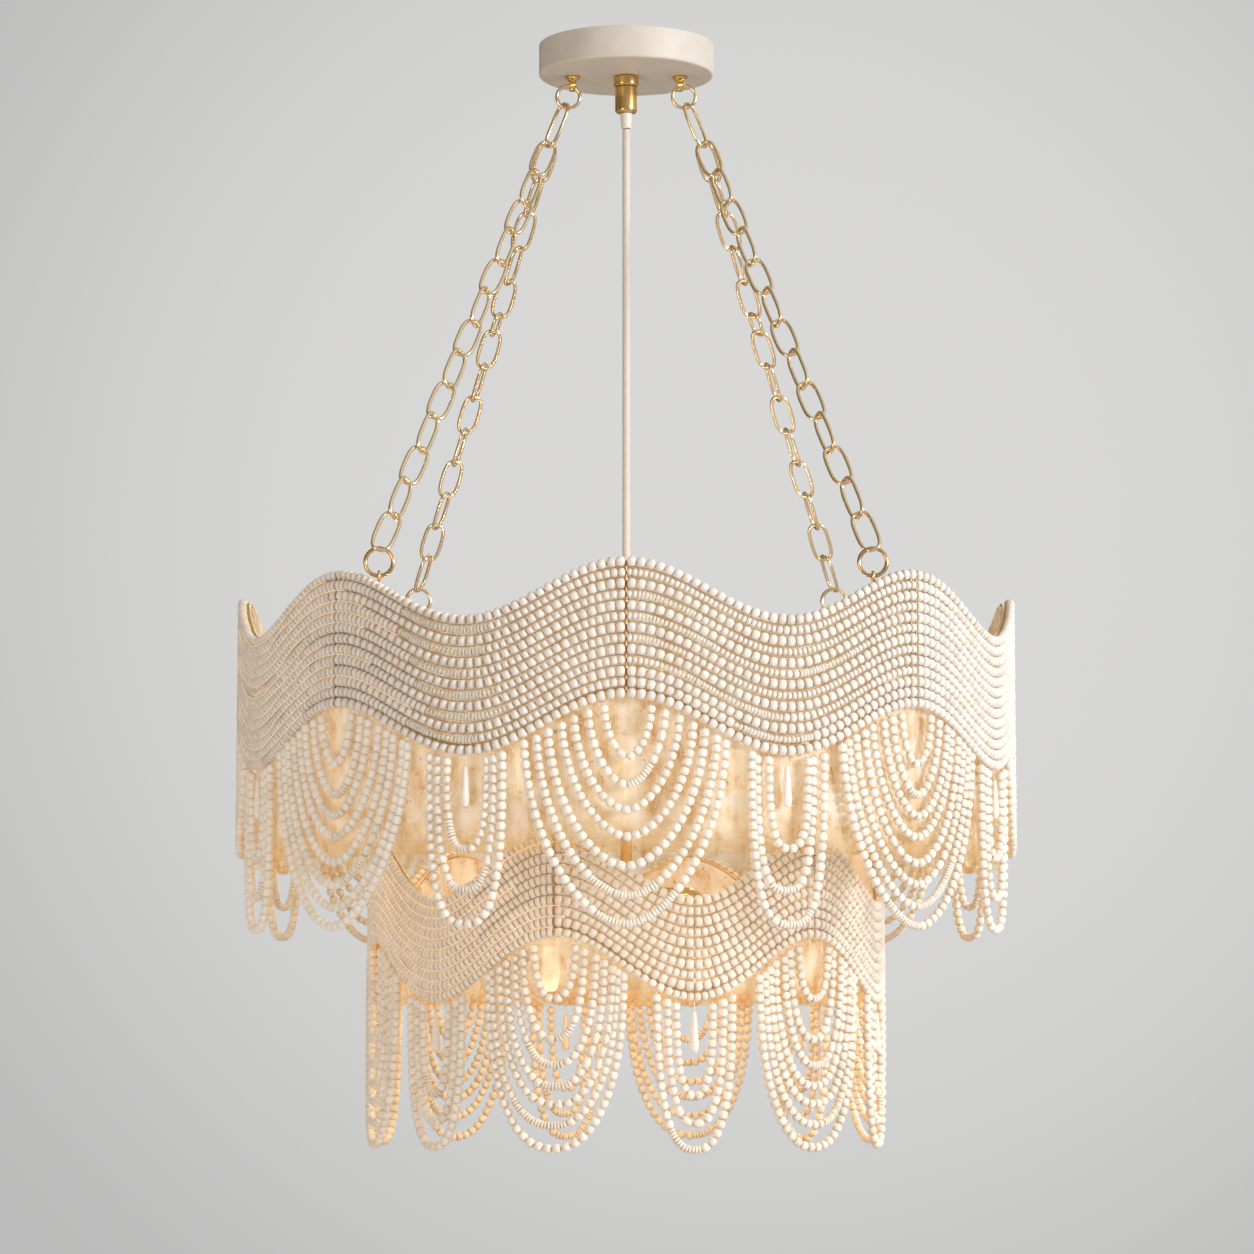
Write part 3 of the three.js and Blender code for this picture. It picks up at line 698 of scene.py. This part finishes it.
# In the upper band: ends of the top row's round beads, and last angles of the disc and seed beads
TOP_ROW, DISC_END, SEED_END = (-75, 60), -24, 36
LOWER_PRESSED_START = -105
SEAM_GAP, ROW_STEPS = 0.4, 240
# Wires between the rows: depth behind the tier's face, how far the depth sways, and the wire's radius
# The lit wires are the paler copy of the gold with a painted glow, the plain ones its darker copy as painted
# shade in the grooves
ROW_WIRES = {"plain": (3.5, 0.3, 0.37), "lit": (1.7, 0.8, 0.46)}
# Where the lit wires start, how far their ends and the plain wires' ends stray, and the waves of the sway
LIT_WIRES_START = -140
CHANGE_PLAY, END_PLAY, SWAY_WAVES = (-20, 5), (-8, 8), (8, 40)
LACING_DEPTH, LACING_WIRE = 3.4, 0.5


def signed(angle):
    return (angle + 180) % 360 - 180


def upper_kind(row, angle):
    """Which bead a row of the upper band has at an angle from the front."""
    a = signed(angle)
    if any(row == r and (a - start) % 360 < end - start for r, start, end in CLEAR_STRETCHES):
        return "clear_disc" if (row + int(a // 4)) % 2 else "clear_seed"
    first, last = ROUND_BEADS["upper"]
    if row == 0 and TOP_ROW[0] < a < TOP_ROW[1]:
        return "large" if a > first else "small"
    if a < FIRST_ROUND[row] or a >= last:
        return "pressed" if a < 0 or row == 0 else "tight"
    if row % 2 == 0 or row == 11 and a > 0:
        return "large" if a > DISC_END or row % 4 == 0 else "medium"
    if a < DISC_END:
        return "disc"
    if a < SEED_END:
        return "small" if (row + int(a // 7)) % 4 == 0 or a < 0 else "seed"
    return "small"


def lower_kind(row, angle):
    """Which bead a row of the lower band has at an angle from the front."""
    a = signed(angle)
    first, last = ROUND_BEADS["lower"]
    if LOWER_PRESSED_START < a < first:
        return "pressed"
    if first <= a < last:
        return ("small" if int(a // 9) % 2 else "medium") if row % 2 else "large"
    return "medium" if (row + int(a // 30)) % 3 else "pressed"


def bead_rows(tier, kind_of, material, glass):
    """Every row of the band, threaded from crest to crest with a seam at each crest."""
    clear = Shape()
    replaced = [f"{tier.name}_bead_band"]
    for row in range(tier.rows):
        draw = random.Random(f"{tier.name} row {row}")
        shape = Shape()
        drop = (row + 0.5) * tier.row_pitch
        for crest in tier.crests():
            line = tier.line(tier.row_radius, drop, crest, crest + tier.step, ROW_STEPS)

            def kind_at(share):
                return kind_of(row, crest + share * tier.step)

            string_beads(shape, line, kind_at, draw, SEAM_GAP, tier.row_fullness, clear)
        shape.build(f"{tier.name}_bead_row_{row + 1:02d}", material, PENDANT, "wood_beads", replaced)
    if clear.count:
        clear.build(f"{tier.name}_clear_beads", glass, PENDANT, None, replaced)


def row_wires(tier, plain, lit, lacing):
    """The wires between the rows, nearer the eye on the left, and those that lace the rows at each crest."""
    first, last = ROUND_BEADS[tier.name]
    for place, metal in (("plain", plain), ("lit", lit)):
        depth, sway, wire = ROW_WIRES[place]
        shape = Shape()
        for row in range(1, tier.rows):
            draw = random.Random(f"{tier.name} wire {row}")
            change = first + draw.uniform(*CHANGE_PLAY)
            start, end = LIT_WIRES_START, change
            if place == "plain":
                start, end = change, last + draw.uniform(*END_PLAY)
            angles = np.linspace(start, end, int(end - start) * 2)
            drift = 0
            for _ in range(3):
                turn = np.radians(angles * draw.uniform(*SWAY_WAVES)) + draw.uniform(0, 6)
                drift = drift + np.sin(turn) / 2
            heights = tier.rim(angles) - row * tier.row_pitch
            tube(shape, around(tier.radius - depth - sway * drift, angles, heights), wire, 6)
        shape.build(f"{tier.name}_{place}_row_wires", metal, PENDANT, "gold_wire")
    shape = Shape()
    for crest in tier.crests():
        top = around(tier.radius - LACING_DEPTH, crest, tier.rim(crest) - tier.row_pitch / 2)
        bottom = top - (0, 0, tier.band_height - tier.row_pitch)
        tube(shape, np.linspace(top, bottom, 24), LACING_WIRE, 6)
    shape.build(f"{tier.name}_lacing_wires", lacing, PENDANT, "gold_wire")


# Swags: fullness of their bends, and half widths and depths of their strings from the inside out
STRINGS = {
    "upper_front": (1.8, [17, 27.5, 37.5, 47, 56, 64.5, 72.5], [41, 61, 79, 98, 118, 139, 158]),
    "upper_large": (1.8, [16.5, 26, 35, 43.5, 51.5, 59, 66, 72], [41, 64, 79, 94, 112, 128, 144, 158]),
    "upper_small": (3, [15.5, 22, 28.5], [66, 95, 119]),
    "lower_large": (2.3, [16, 23.5, 31, 37.5, 43.5, 48.5, 52.5], [45, 74, 93, 108, 121, 136, 152]),
    "lower_small": (2.6, [14, 21.5, 29], [68, 88, 106]),
}
FRONT_SWAG = "upper_large_swag_1"
SHORT_SWAGS, SHORT_SWAG_SHARE = ("upper_large_swag_3", "upper_large_swag_7"), 0.62
STRING_STEPS, STRING_END_GAP = 220, 1
# From the band's lower edge down to the first bead of a string
STRING_START = 1.2
# How much a string strays up and to the sides
UP_PLAY, SIDE_PLAY = 1.2, 1.6
# Stretches of other beads, as shares of a string: flat discs near its middle, and long beads in some
DISC_MIDDLE_SHARES, DISC_HALF_SHARES = (0.42, 0.6), [0, 0, 0.06, 0.1]
RICE_START_SHARES, RICE_SHARE, NO_RICE_SHARE = (0.08, 0.8), 0.14, 2
# Swags on the left, between these angles, have tight beads
TIGHT_SWAGS = (-115, -30)
THREAD, DROP_THREAD, DROP_THREAD_LENGTH, DROP_LENGTH = 0.35, 0.4, 7, 29
THREAD_TONE, DROP_TONE = 0.3, 0.8


def curve_share(value, fullness):
    """A cosine or sine made fuller, as in a superellipse."""
    return np.sign(value) * np.abs(value) ** (2 / fullness)


def string_line(tier, middle, half_width, bottom_z, fullness):
    """A string from the band's lower edge, wrapped round the tier."""
    edge = math.degrees(half_width / tier.radius)
    attach_z = float(tier.rim(middle + edge)) - tier.band_height - STRING_START
    turn = np.linspace(0, math.pi, STRING_STEPS)
    across = -half_width * curve_share(np.cos(turn), fullness)
    z = attach_z - (attach_z - bottom_z) * curve_share(np.sin(turn), fullness)
    return around(tier.line_radius, middle + np.degrees(across / tier.radius), z)


def swag(tier, size, index, middle, material):
    """One swag of nested strings, and a drop bead in a small one."""
    name = f"{tier.name}_{size}_swag_{index + 1}"
    draw = random.Random(name)
    shape = Shape()
    fullness, widths, depths = STRINGS["upper_front" if name == FRONT_SWAG else f"{tier.name}_{size}"]
    edge_z = float(tier.rim(middle)) - tier.band_height
    depth_share = SHORT_SWAG_SHARE if name in SHORT_SWAGS else 1
    for number, (half_width, depth) in enumerate(zip(widths, depths)):
        bottom_z = edge_z - depth * depth_share + draw.uniform(0, UP_PLAY)
        shift = math.degrees(draw.uniform(-SIDE_PLAY, SIDE_PLAY) / tier.radius)
        line = string_line(tier, middle + shift, half_width, bottom_z, fullness)
        outer = number == len(widths) - 1
        disc_middle, disc_half = draw.uniform(*DISC_MIDDLE_SHARES), draw.choice(DISC_HALF_SHARES)
        rice_from = draw.uniform(*RICE_START_SHARES) if draw.random() < 0.5 and not outer else NO_RICE_SHARE
        plain = "pearl" if outer or number % 3 == 1 else "medium"
        if TIGHT_SWAGS[0] < signed(middle) < TIGHT_SWAGS[1]:
            plain = "tight"

        def kind_at(share):
            if abs(share - disc_middle) < disc_half:
                return "disc"
            return "rice" if 0 < share - rice_from < RICE_SHARE else plain

        string_beads(shape, line, kind_at, draw, STRING_END_GAP)
        tube(shape, line, THREAD, 4, tones=THREAD_TONE)
    if size == "small":
        drop_bead(shape, tier, middle, edge_z)
    shape.build(name.replace("_swag_", "_swag_beads_"), material, PENDANT, "wood_beads", [name])


def drop_bead(shape, tier, middle, edge_z):
    """A long bead, widest near its lower end, on a thread from the band's lower edge."""
    place = around(tier.line_radius, middle, edge_z)
    top = place - (0, 0, DROP_THREAD_LENGTH)
    tube(shape, [place, top], DROP_THREAD, 5, tones=THREAD_TONE)
    profile = rounded([
        (0, 0), (1.5, -0.6), (2.3, -8), (3.3, 8 - DROP_LENGTH), (3.5, 4 - DROP_LENGTH),
        (2.4, -DROP_LENGTH), (0, -DROP_LENGTH),
    ], 3, 5)
    lathe(shape, profile, 18, top, tones=DROP_TONE)


# Liners, frames and spiders
RING_STEPS, LINER_ROWS = 288, 14
SPOKES = {"upper": [22.5, 112.5, 202.5, 292.5], "lower": [-45.5, 74.5, 194.5]}
HUB_RING, HUB_BORE, HUB_HEIGHT = 18, 12, 4


def liner(tier, material):
    """The smooth sheet inside the band: its top follows the wave, its bottom is level."""
    outer = tier.frame_radius - FRAME_WIRE - GAP
    angles = np.linspace(0, 360, RING_STEPS, endpoint=False)
    top = tier.rim(angles) - tier.row_pitch / 2 - FRAME_WIRE - GAP
    down = np.linspace(0, 1, LINER_ROWS)
    sheets = []
    for radius, shares in ((outer, down), (outer - LINER_WALL, down[::-1])):
        for share in shares:
            sheets.append(around(radius, angles, top + (tier.liner_bottom_z - top) * share))
    faces = grid_faces(2 * LINER_ROWS, RING_STEPS, True)[:, ::-1]
    shape = Shape().add(np.concatenate(sheets), faces)
    shape.build(f"{tier.name}_liner_sheet", material, PENDANT, "parchment", [f"{tier.name}_liner"])


def main_frame(tier, gold):
    """Two waved rings joined by a post at each crest. The upper frame carries the eyelets for the chains."""
    shape = Shape()
    top_drop, bottom_drop = tier.row_pitch / 2, tier.band_height - tier.row_pitch
    for drop in (top_drop, bottom_drop):
        ring = tier.line(tier.frame_radius, drop, 0, 360, RING_STEPS + 1)[:-1]
        tube(shape, ring, FRAME_WIRE, closed=True)
    for crest in tier.crests():
        top = around(tier.frame_radius, crest, tier.rim(crest) - top_drop)
        tube(shape, [top, top - (0, 0, bottom_drop - top_drop)], FRAME_WIRE)
    if tier is UPPER:
        for side in (-1, 1):
            for face in ("front", "back"):
                eyelet(shape, side, face)
    shape.build(f"{tier.name}_frame_wires", gold, PENDANT, "gold_wire", [f"{tier.name}_frame"])


def spider_z(tier):
    lift = 2 * FRAME_WIRE + GAP if tier is UPPER else 0
    return tier.crest_z - tier.wave_height - tier.row_pitch / 2 + lift


def spider(tier, gold):
    """A ring in the middle and its spokes out to the frame."""
    shape = Shape()
    z = spider_z(tier)
    for angle in SPOKES[tier.name]:
        ends = around(np.array([HUB_RING - FRAME_WIRE, tier.frame_radius + FRAME_WIRE / 2]), angle, z)
        tube(shape, ends, FRAME_WIRE)
    half, middle = HUB_HEIGHT / 2, (HUB_RING + HUB_BORE) / 2
    profile = rounded([
        (middle, -half), (HUB_RING, -half), (HUB_RING, half),
        (HUB_BORE, half), (HUB_BORE, -half), (middle, -half),
    ], 0.8)
    lathe(shape, profile, 64, (0, 0, z))
    replaced = ["upper_spider"] if tier is UPPER else []
    shape.build(f"{tier.name}_spider_wires", gold, PENDANT, "gold_wire", replaced)


# Canopy and cord grip, one under the other
CANOPY_RADIUS, CANOPY_DEPTH, CANOPY_WALL, CANOPY_EDGE, CANOPY_HOLE = 68.4, 24.7, 1.5, 2.2, 5.4
COLLAR_RADIUS, COLLAR_HEIGHT, COLLAR_NECK, COLLAR_NECK_HEIGHT = 10, 8, 5, 10
NUT_RADIUS, NUT_HEIGHT, CHAMFER = 8.7, 20.5, 1.2
SLEEVE_TOP_RADIUS, SLEEVE_END_RADIUS, SLEEVE_HEIGHT = 4.8, 3.9, 12
CORD_GAP, CORD_RADIUS, CORD_STEPS = 0.9, 3, 33
FLANGE, HUB_BODY_HEIGHT = 3.5, 22
COLLAR_TOP = -CANOPY_DEPTH - GAP
NUT_TOP = COLLAR_TOP - COLLAR_HEIGHT - GAP
SLEEVE_TOP = NUT_TOP - NUT_HEIGHT - GAP
CORD_TOP = SLEEVE_TOP - SLEEVE_HEIGHT - CORD_GAP
HUB_TOP = spider_z(UPPER) + HUB_HEIGHT / 2 + GAP + FLANGE
HUB_BOTTOM = HUB_TOP - FLANGE - HUB_BODY_HEIGHT
CORD_BOTTOM = HUB_TOP + GAP


def canopy(cream):
    inside, ceiling = CANOPY_RADIUS - CANOPY_WALL, CANOPY_WALL - CANOPY_DEPTH
    profile = rounded([
        (CANOPY_HOLE, ceiling), (inside, ceiling), (inside, 0), (CANOPY_RADIUS, 0),
        (CANOPY_RADIUS, -CANOPY_DEPTH), (CANOPY_HOLE, -CANOPY_DEPTH), (CANOPY_HOLE, ceiling),
    ], CANOPY_EDGE, 6)
    lathe(Shape(), profile, 160).build("canopy_shell", cream, CEILING, "cream_paint", ["canopy"])


def cord_grip(brass, plastic):
    """Collar and nut of brass, and the strain relief sleeve under them."""
    neck, bottom = COLLAR_TOP + COLLAR_NECK_HEIGHT, COLLAR_TOP - COLLAR_HEIGHT
    turned("grip_collar_brass", [
        (0, neck), (COLLAR_NECK, neck), (COLLAR_NECK, COLLAR_TOP), (COLLAR_RADIUS, COLLAR_TOP),
        (COLLAR_RADIUS, bottom + CHAMFER), (COLLAR_RADIUS - 1.1, bottom), (0, bottom),
    ], 0.7, 72, brass, CEILING, "brass", "cord_grip_collar")
    bottom = NUT_TOP - NUT_HEIGHT
    turned("grip_nut_brass", [
        (0, NUT_TOP), (NUT_RADIUS, NUT_TOP), (NUT_RADIUS, bottom + 1.5),
        (NUT_RADIUS - CHAMFER, bottom), (0, bottom),
    ], 0.7, 72, brass, CEILING, "brass", "cord_grip_nut")
    bottom = SLEEVE_TOP - SLEEVE_HEIGHT
    turned("sleeve_plastic", [
        (0, SLEEVE_TOP), (SLEEVE_TOP_RADIUS, SLEEVE_TOP), (4.3, SLEEVE_TOP - SLEEVE_HEIGHT / 2),
        (SLEEVE_END_RADIUS, bottom), (0, bottom),
    ], 0.6, 40, plastic, CEILING, "cream_plastic", "strain_relief_sleeve")


def supply_cord(cover):
    path = np.linspace((0, 0, CORD_TOP), (0, 0, CORD_BOTTOM), CORD_STEPS)
    shape = tube(Shape(), path, CORD_RADIUS, 20)
    cord = shape.build("supply_cord_line", cover, None, "cord_cover", ["supply_cord"])
    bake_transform(cord)


# Rings and chains
RING_RADIUS, RING_WIRE = 9, 1.4
LINK_WIRE, LINK_HALF_WIDTH, LINK_FULLNESS = 1.4, 7.3, 3.0
SPLIT_X, SPLIT_Z, SPLIT_OFFSET = 60.5, -79, 2.2
SHADE_RING, SHADE_RING_WIRE = 10, 1.5
RING_ANGLE = {"front": 37.6, "back": 143.6}
RING_RISE = {"front": 2.5, "back": 26}
LINK_COUNT = {"front": 13, "back": 14}
# One link of each back chain is shorter
SHORT_LINK, SHORT_SHARE = 5, 0.52
LINK_TWISTS, TWIST_PLAY = (10, 62), 9
EYE_SPREAD, EYE_STEM, EYE_BASE, EYE_BASE_HEIGHT = 42, 2, 6.2, 3.8
EYE_LOOP, EYE_WIRE = 4, 1.2
EYE_BASE_Z = -CANOPY_DEPTH - GAP
EYE_LOOP_Z = EYE_BASE_Z - EYE_BASE_HEIGHT - EYE_LOOP + EYE_WIRE
RING_TOP_Z = EYE_LOOP_Z - EYE_LOOP + EYE_WIRE + 2 * GAP + RING_WIRE
EYELET_LOOP, EYELET_WIRE = 3.4, 1.2
ACROSS, AWAY, UP = np.eye(3)


def shade_ring(side, face):
    """The middle of the ring that joins a chain to the shade."""
    place = around(UPPER.frame_radius, side * RING_ANGLE[face], 0.0)
    place[2] = float(UPPER.rim(RING_ANGLE[face])) + SHADE_RING + RING_RISE[face]
    return place


def eyelet(shape, side, face):
    """A loop on a post of the frame, with the shade ring's wire through it."""
    ring = shade_ring(side, face)
    centre, foot = ring.copy(), ring.copy()
    centre[2] = ring[2] - SHADE_RING + RING_WIRE + GAP + EYELET_WIRE - EYELET_LOOP
    foot[2] = float(UPPER.rim(RING_ANGLE[face])) - UPPER.row_pitch / 2
    tube(shape, ring_points(centre, EYELET_LOOP, AWAY, UP), EYELET_WIRE, closed=True)
    tube(shape, [foot, centre - (0, 0, EYELET_LOOP)], EYELET_WIRE)


def link_line(top, bottom, across):
    """A long oval link, with its wire through top and bottom."""
    along = unit(bottom - top)
    side = unit(across - (across @ along) * along)
    turn = circle_angles(44)[:, None]
    sideways = LINK_HALF_WIDTH * curve_share(np.cos(turn), LINK_FULLNESS)
    reach = np.linalg.norm(bottom - top) / 2 * curve_share(np.sin(turn), LINK_FULLNESS)
    return (top + bottom) / 2 + sideways * side + reach * along


def chain(side, side_name, face, brass, ring_metal):
    """One chain and its shade ring. A front one also has the top ring and the link that both chains share."""
    ring = shade_ring(side, face)
    front = face == "front"
    start = np.array([side * SPLIT_X, -SPLIT_OFFSET if front else SPLIT_OFFSET, SPLIT_Z], float)
    end = ring + (0, 0, SHADE_RING)
    along = unit(end - start)
    shares = [SHORT_SHARE if not front and i == SHORT_LINK else 1 for i in range(LINK_COUNT[face])]
    pitch = np.linalg.norm(end - start) / sum(shares)
    edge = np.cross(along, ACROSS)
    draw = random.Random(f"chain {side} {face}")
    shape = Shape()
    passed = 0.0
    for i, share in enumerate(shares):
        top = start + along * (passed - LINK_WIRE)
        passed += share * pitch
        bottom = start + along * (passed + LINK_WIRE)
        twist = side * math.radians(LINK_TWISTS[i % 2] + draw.uniform(-TWIST_PLAY, TWIST_PLAY))
        across = math.cos(twist) * ACROSS + math.sin(twist) * edge
        tube(shape, link_line(top, bottom, across), LINK_WIRE, 12, closed=True)
    if front:
        ring_top = np.array([side * EYE_SPREAD, 0, RING_TOP_Z], float)
        split = np.array([side * SPLIT_X, 0, SPLIT_Z], float)
        way = unit(split - ring_top)
        top_ring = ring_points(ring_top + way * RING_RADIUS, RING_RADIUS, ACROSS, UP, 48)
        tube(shape, top_ring, RING_WIRE, 12, closed=True)
        upper_end = ring_top + way * (2 * RING_RADIUS - RING_WIRE - LINK_WIRE)
        opening = AWAY + side * 0.8 * ACROSS
        tube(shape, link_line(upper_end, split + way * LINK_WIRE, opening), LINK_WIRE, 12, closed=True)
    name = f"{face}_chain_{side_name}"
    shape.build(f"{name}_links", brass, PENDANT, "brass", [name])
    last = tube(Shape(), ring_points(ring, SHADE_RING, ACROSS, UP, 48), SHADE_RING_WIRE, 12, closed=True)
    last.build(f"{name}_shade_ring", ring_metal, PENDANT, "brass", [name])


def ceiling_eye(side, side_name, brass):
    """A wide eye of three close loops on a cone, with its stem through the canopy."""
    foot = EYE_BASE_Z - EYE_BASE_HEIGHT
    base = rounded([
        (0, -GAP), (EYE_STEM, -GAP), (EYE_STEM, EYE_BASE_Z), (EYE_BASE, EYE_BASE_Z),
        (EYE_BASE - 0.2, EYE_BASE_Z - 0.9), (EYE_BASE - 2.3, EYE_BASE_Z - 2.6),
        (EYE_BASE - 3.2, foot), (0, foot),
    ], 0.6)
    shape = lathe(Shape(), base, 40, (side * EYE_SPREAD, 0, 0))
    for shift in (-EYE_WIRE, 0, EYE_WIRE):
        centre = (side * EYE_SPREAD + shift, 0, EYE_LOOP_Z)
        tube(shape, ring_points(centre, EYE_LOOP, AWAY, UP), EYE_WIRE, closed=True)
    name = f"ceiling_eye_{side_name}"
    shape.build(f"{name}_brass", brass, CEILING, "brass", [name])


# Lamp clusters
STEM, ARM, ARM_BEND, HUB_BODY, FINIAL_HEIGHT = 4.5, 3, 12, 11, 7
# The arms' angles, their reach and the height of their sockets
ARMS = {
    "upper": ({"front": 0, "right": 120, "left": 240}, 100, -522),
    "lower": ({"right": 90, "left": 270}, 58, -677),
}
SOCKET, SOCKET_HEIGHT, SOCKET_BORE, SOCKET_TOP = 7.4, 29, 5.2, 6
LAMP_PLUG, LAMP, LAMP_TIP = 4.6, 6.9, 3.5
LAMP_SHOULDER, LAMP_BODY, LAMP_LENGTH, LAMP_LIGHT = 3, 26, 33, 16


def arms(shape, tier_name, start_z):
    """Arms that run level from a hub and bend down to their sockets."""
    angles, reach, socket_z = ARMS[tier_name]
    turn = np.linspace(0, math.pi / 2, 9)
    radii = [STEM - 1, *(reach - ARM_BEND + ARM_BEND * np.sin(turn)), reach]
    heights = [start_z, *(start_z - ARM_BEND + ARM_BEND * np.cos(turn)), socket_z + GAP]
    for angle in angles.values():
        tube(shape, around(np.array(radii), angle, np.array(heights)), ARM, 14)


def upper_cluster(brass):
    """The hub with its flange on the spider, and three arms."""
    shape = lathe(Shape(), rounded([
        (0, HUB_TOP), (HUB_RING, HUB_TOP), (HUB_RING, HUB_TOP - FLANGE), (HUB_BODY, HUB_TOP - FLANGE),
        (HUB_BODY, HUB_BOTTOM), (0, HUB_BOTTOM),
    ], 1.5), 64)
    arms(shape, "upper", HUB_BOTTOM + HUB_BODY / 2)
    shape.build("upper_cluster_brass", brass, PENDANT, "brass", ["upper_lamp_cluster"])


def lower_cluster(brass):
    """The stem under the upper hub, a hub with two arms, and the finial that holds the lower spider."""
    hub_z = spider_z(LOWER) + HUB_HEIGHT / 2 + GAP + HUB_BODY
    finial = spider_z(LOWER) - HUB_HEIGHT / 2 - GAP
    rim, tip = HUB_RING - FLANGE, finial - FINIAL_HEIGHT
    shape = lathe(Shape(), rounded([
        (0, HUB_BOTTOM - GAP), (STEM, HUB_BOTTOM - GAP), (STEM, hub_z + HUB_BODY),
        (HUB_BODY, hub_z + HUB_BODY / 2), (HUB_BODY, hub_z - HUB_BODY / 2), (STEM, hub_z - HUB_BODY),
        (STEM, finial), (rim, finial), (rim, finial - FLANGE), (STEM, tip), (0, tip),
    ], 1.2), 64)
    arms(shape, "lower", hub_z)
    shape.build("lower_cluster_brass", brass, PENDANT, "brass", ["lower_lamp_cluster"])


def lamp(tier_name, name, place, porcelain, glass):
    """A holder with its capsule lamp. Returns the place of the lamp's light."""
    turned(f"{tier_name}_holder_{name}", [
        (0, 0), (SOCKET, 0), (SOCKET, -SOCKET_HEIGHT), (SOCKET_BORE, -SOCKET_HEIGHT),
        (SOCKET_BORE, -SOCKET_TOP), (0, -SOCKET_TOP),
    ], 1.0, 40, porcelain, PENDANT, "porcelain", f"{tier_name}_socket_{name}", place)
    plug = -SOCKET_TOP - GAP
    shoulder = -SOCKET_HEIGHT - GAP
    bulb = f"{tier_name}_bulb_{name}"
    turned(f"{tier_name}_lamp_{name}", [
        (0, plug), (LAMP_PLUG, plug), (LAMP_PLUG, shoulder), (LAMP, shoulder - LAMP_SHOULDER),
        (LAMP, shoulder - LAMP_BODY), (LAMP_TIP, shoulder - LAMP_LENGTH), (0, shoulder - LAMP_LENGTH),
    ], 2.0, 32, glass, bulb, "lamp_glass", bulb, place)
    return place + (0, 0, shoulder - LAMP_LIGHT)


def hardware():
    """Canopy, cord, chains, frames and lamps. Returns the places of the lamps' light."""
    brass = brushed_metal("satin_brass", (0.74, 0.50, 0.20), 0.14, 0.24)
    # The front shade rings get a darker brass than the back ones
    aged_brass = brushed_metal("aged_brass", (0.66, 0.45, 0.22), 0.18, 0.28)
    pale_gold = brushed_metal("pale_gold", (0.90, 0.72, 0.46), 0.17, 0.25)
    gold = brushed_metal("gold_wire", (0.84, 0.60, 0.31), 0.3, 0.42)
    zinc = brushed_metal("zinc_plate", (0.72, 0.72, 0.71), 0.3, 0.5)
    porcelain = painted("porcelain", (0.90, 0.80, 0.64), 0.35)
    glass = lamp_glass("lamp_glass", (1.0, 0.92, 0.78), 2.1)

    cord_grip(brass, painted("cream_plastic", (0.84, 0.79, 0.72), 0.4))
    supply_cord(braided("cord_braid", (0.80, 0.75, 0.70)))
    canopy(painted("cream_paint", (0.69, 0.635, 0.57), 0.5))
    crossbar = frame["nodes"]["mounting_crossbar"].data.materials
    crossbar.clear()
    crossbar.append(zinc)
    for side_name, side in (("left", -1), ("right", 1)):
        ceiling_eye(side, side_name, brass)
        chain(side, side_name, "front", pale_gold, aged_brass)
        chain(side, side_name, "back", pale_gold, pale_gold)
    for tier in (UPPER, LOWER):
        main_frame(tier, gold)
        spider(tier, gold)
    upper_cluster(brass)
    lower_cluster(brass)
    return [
        lamp(tier_name, name, around(reach, angle, z), porcelain, glass)
        for tier_name, (angles, reach, z) in ARMS.items() for name, angle in angles.items()
    ]


def shades():
    """Bead rows, the wires between them, liners and swags of both tiers."""
    glass = clear_glass("champagne_glass")
    # Two copies of one gold wire: a darker one as painted shade in the grooves, which also laces the lower
    # band, and a paler lit one with a painted glow
    shaded_gold = brushed_metal("aged_gold_wire", (0.56, 0.44, 0.32), 0.36, 0.5)
    lit = brushed_metal("lit_gold_wire", (0.94, 0.76, 0.56), 0.3, 0.42, 0.38)
    # The upper lacing wires are darkened as painted shade in the seams at the crests
    seam_shade = brushed_metal("bronze_wire", (0.30, 0.19, 0.09), 0.35, 0.5)
    # Each bead paint: pale and deep tone, the tint of its painted lamplight, and its painted glow
    upper_beads, lower_beads, upper_strings = (bead_paint(*facts) for facts in (
        ("washed_beads", (0.885, 0.85, 0.81), (0.80, 0.745, 0.685), (0.95, 0.83, 0.67), 0.02),
        ("washed_beads_lower", (0.90, 0.85, 0.78), (0.82, 0.75, 0.66), (0.95, 0.80, 0.60), 0.06),
        ("washed_string_beads", (0.89, 0.855, 0.805), (0.81, 0.76, 0.69), (0.97, 0.84, 0.68), 0.085),
    ))
    for tier, kind_of, beads, strings, lacing, sheer, fading in (
        (UPPER, upper_kind, upper_beads, upper_strings, seam_shade, 0.24, 28),
        (LOWER, lower_kind, lower_beads, lower_beads, shaded_gold, 0.32, 24),
    ):
        bead_rows(tier, kind_of, beads, glass)
        row_wires(tier, shaded_gold, lit, lacing)
        liner(tier, parchment(tier, sheer, fading))
        for index, crest in enumerate(tier.crests()):
            swag(tier, "large", index, crest, strings)
            swag(tier, "small", index, crest + tier.step / 2, strings)


stage()
world()
glows = hardware()
shades()
lights(glows)
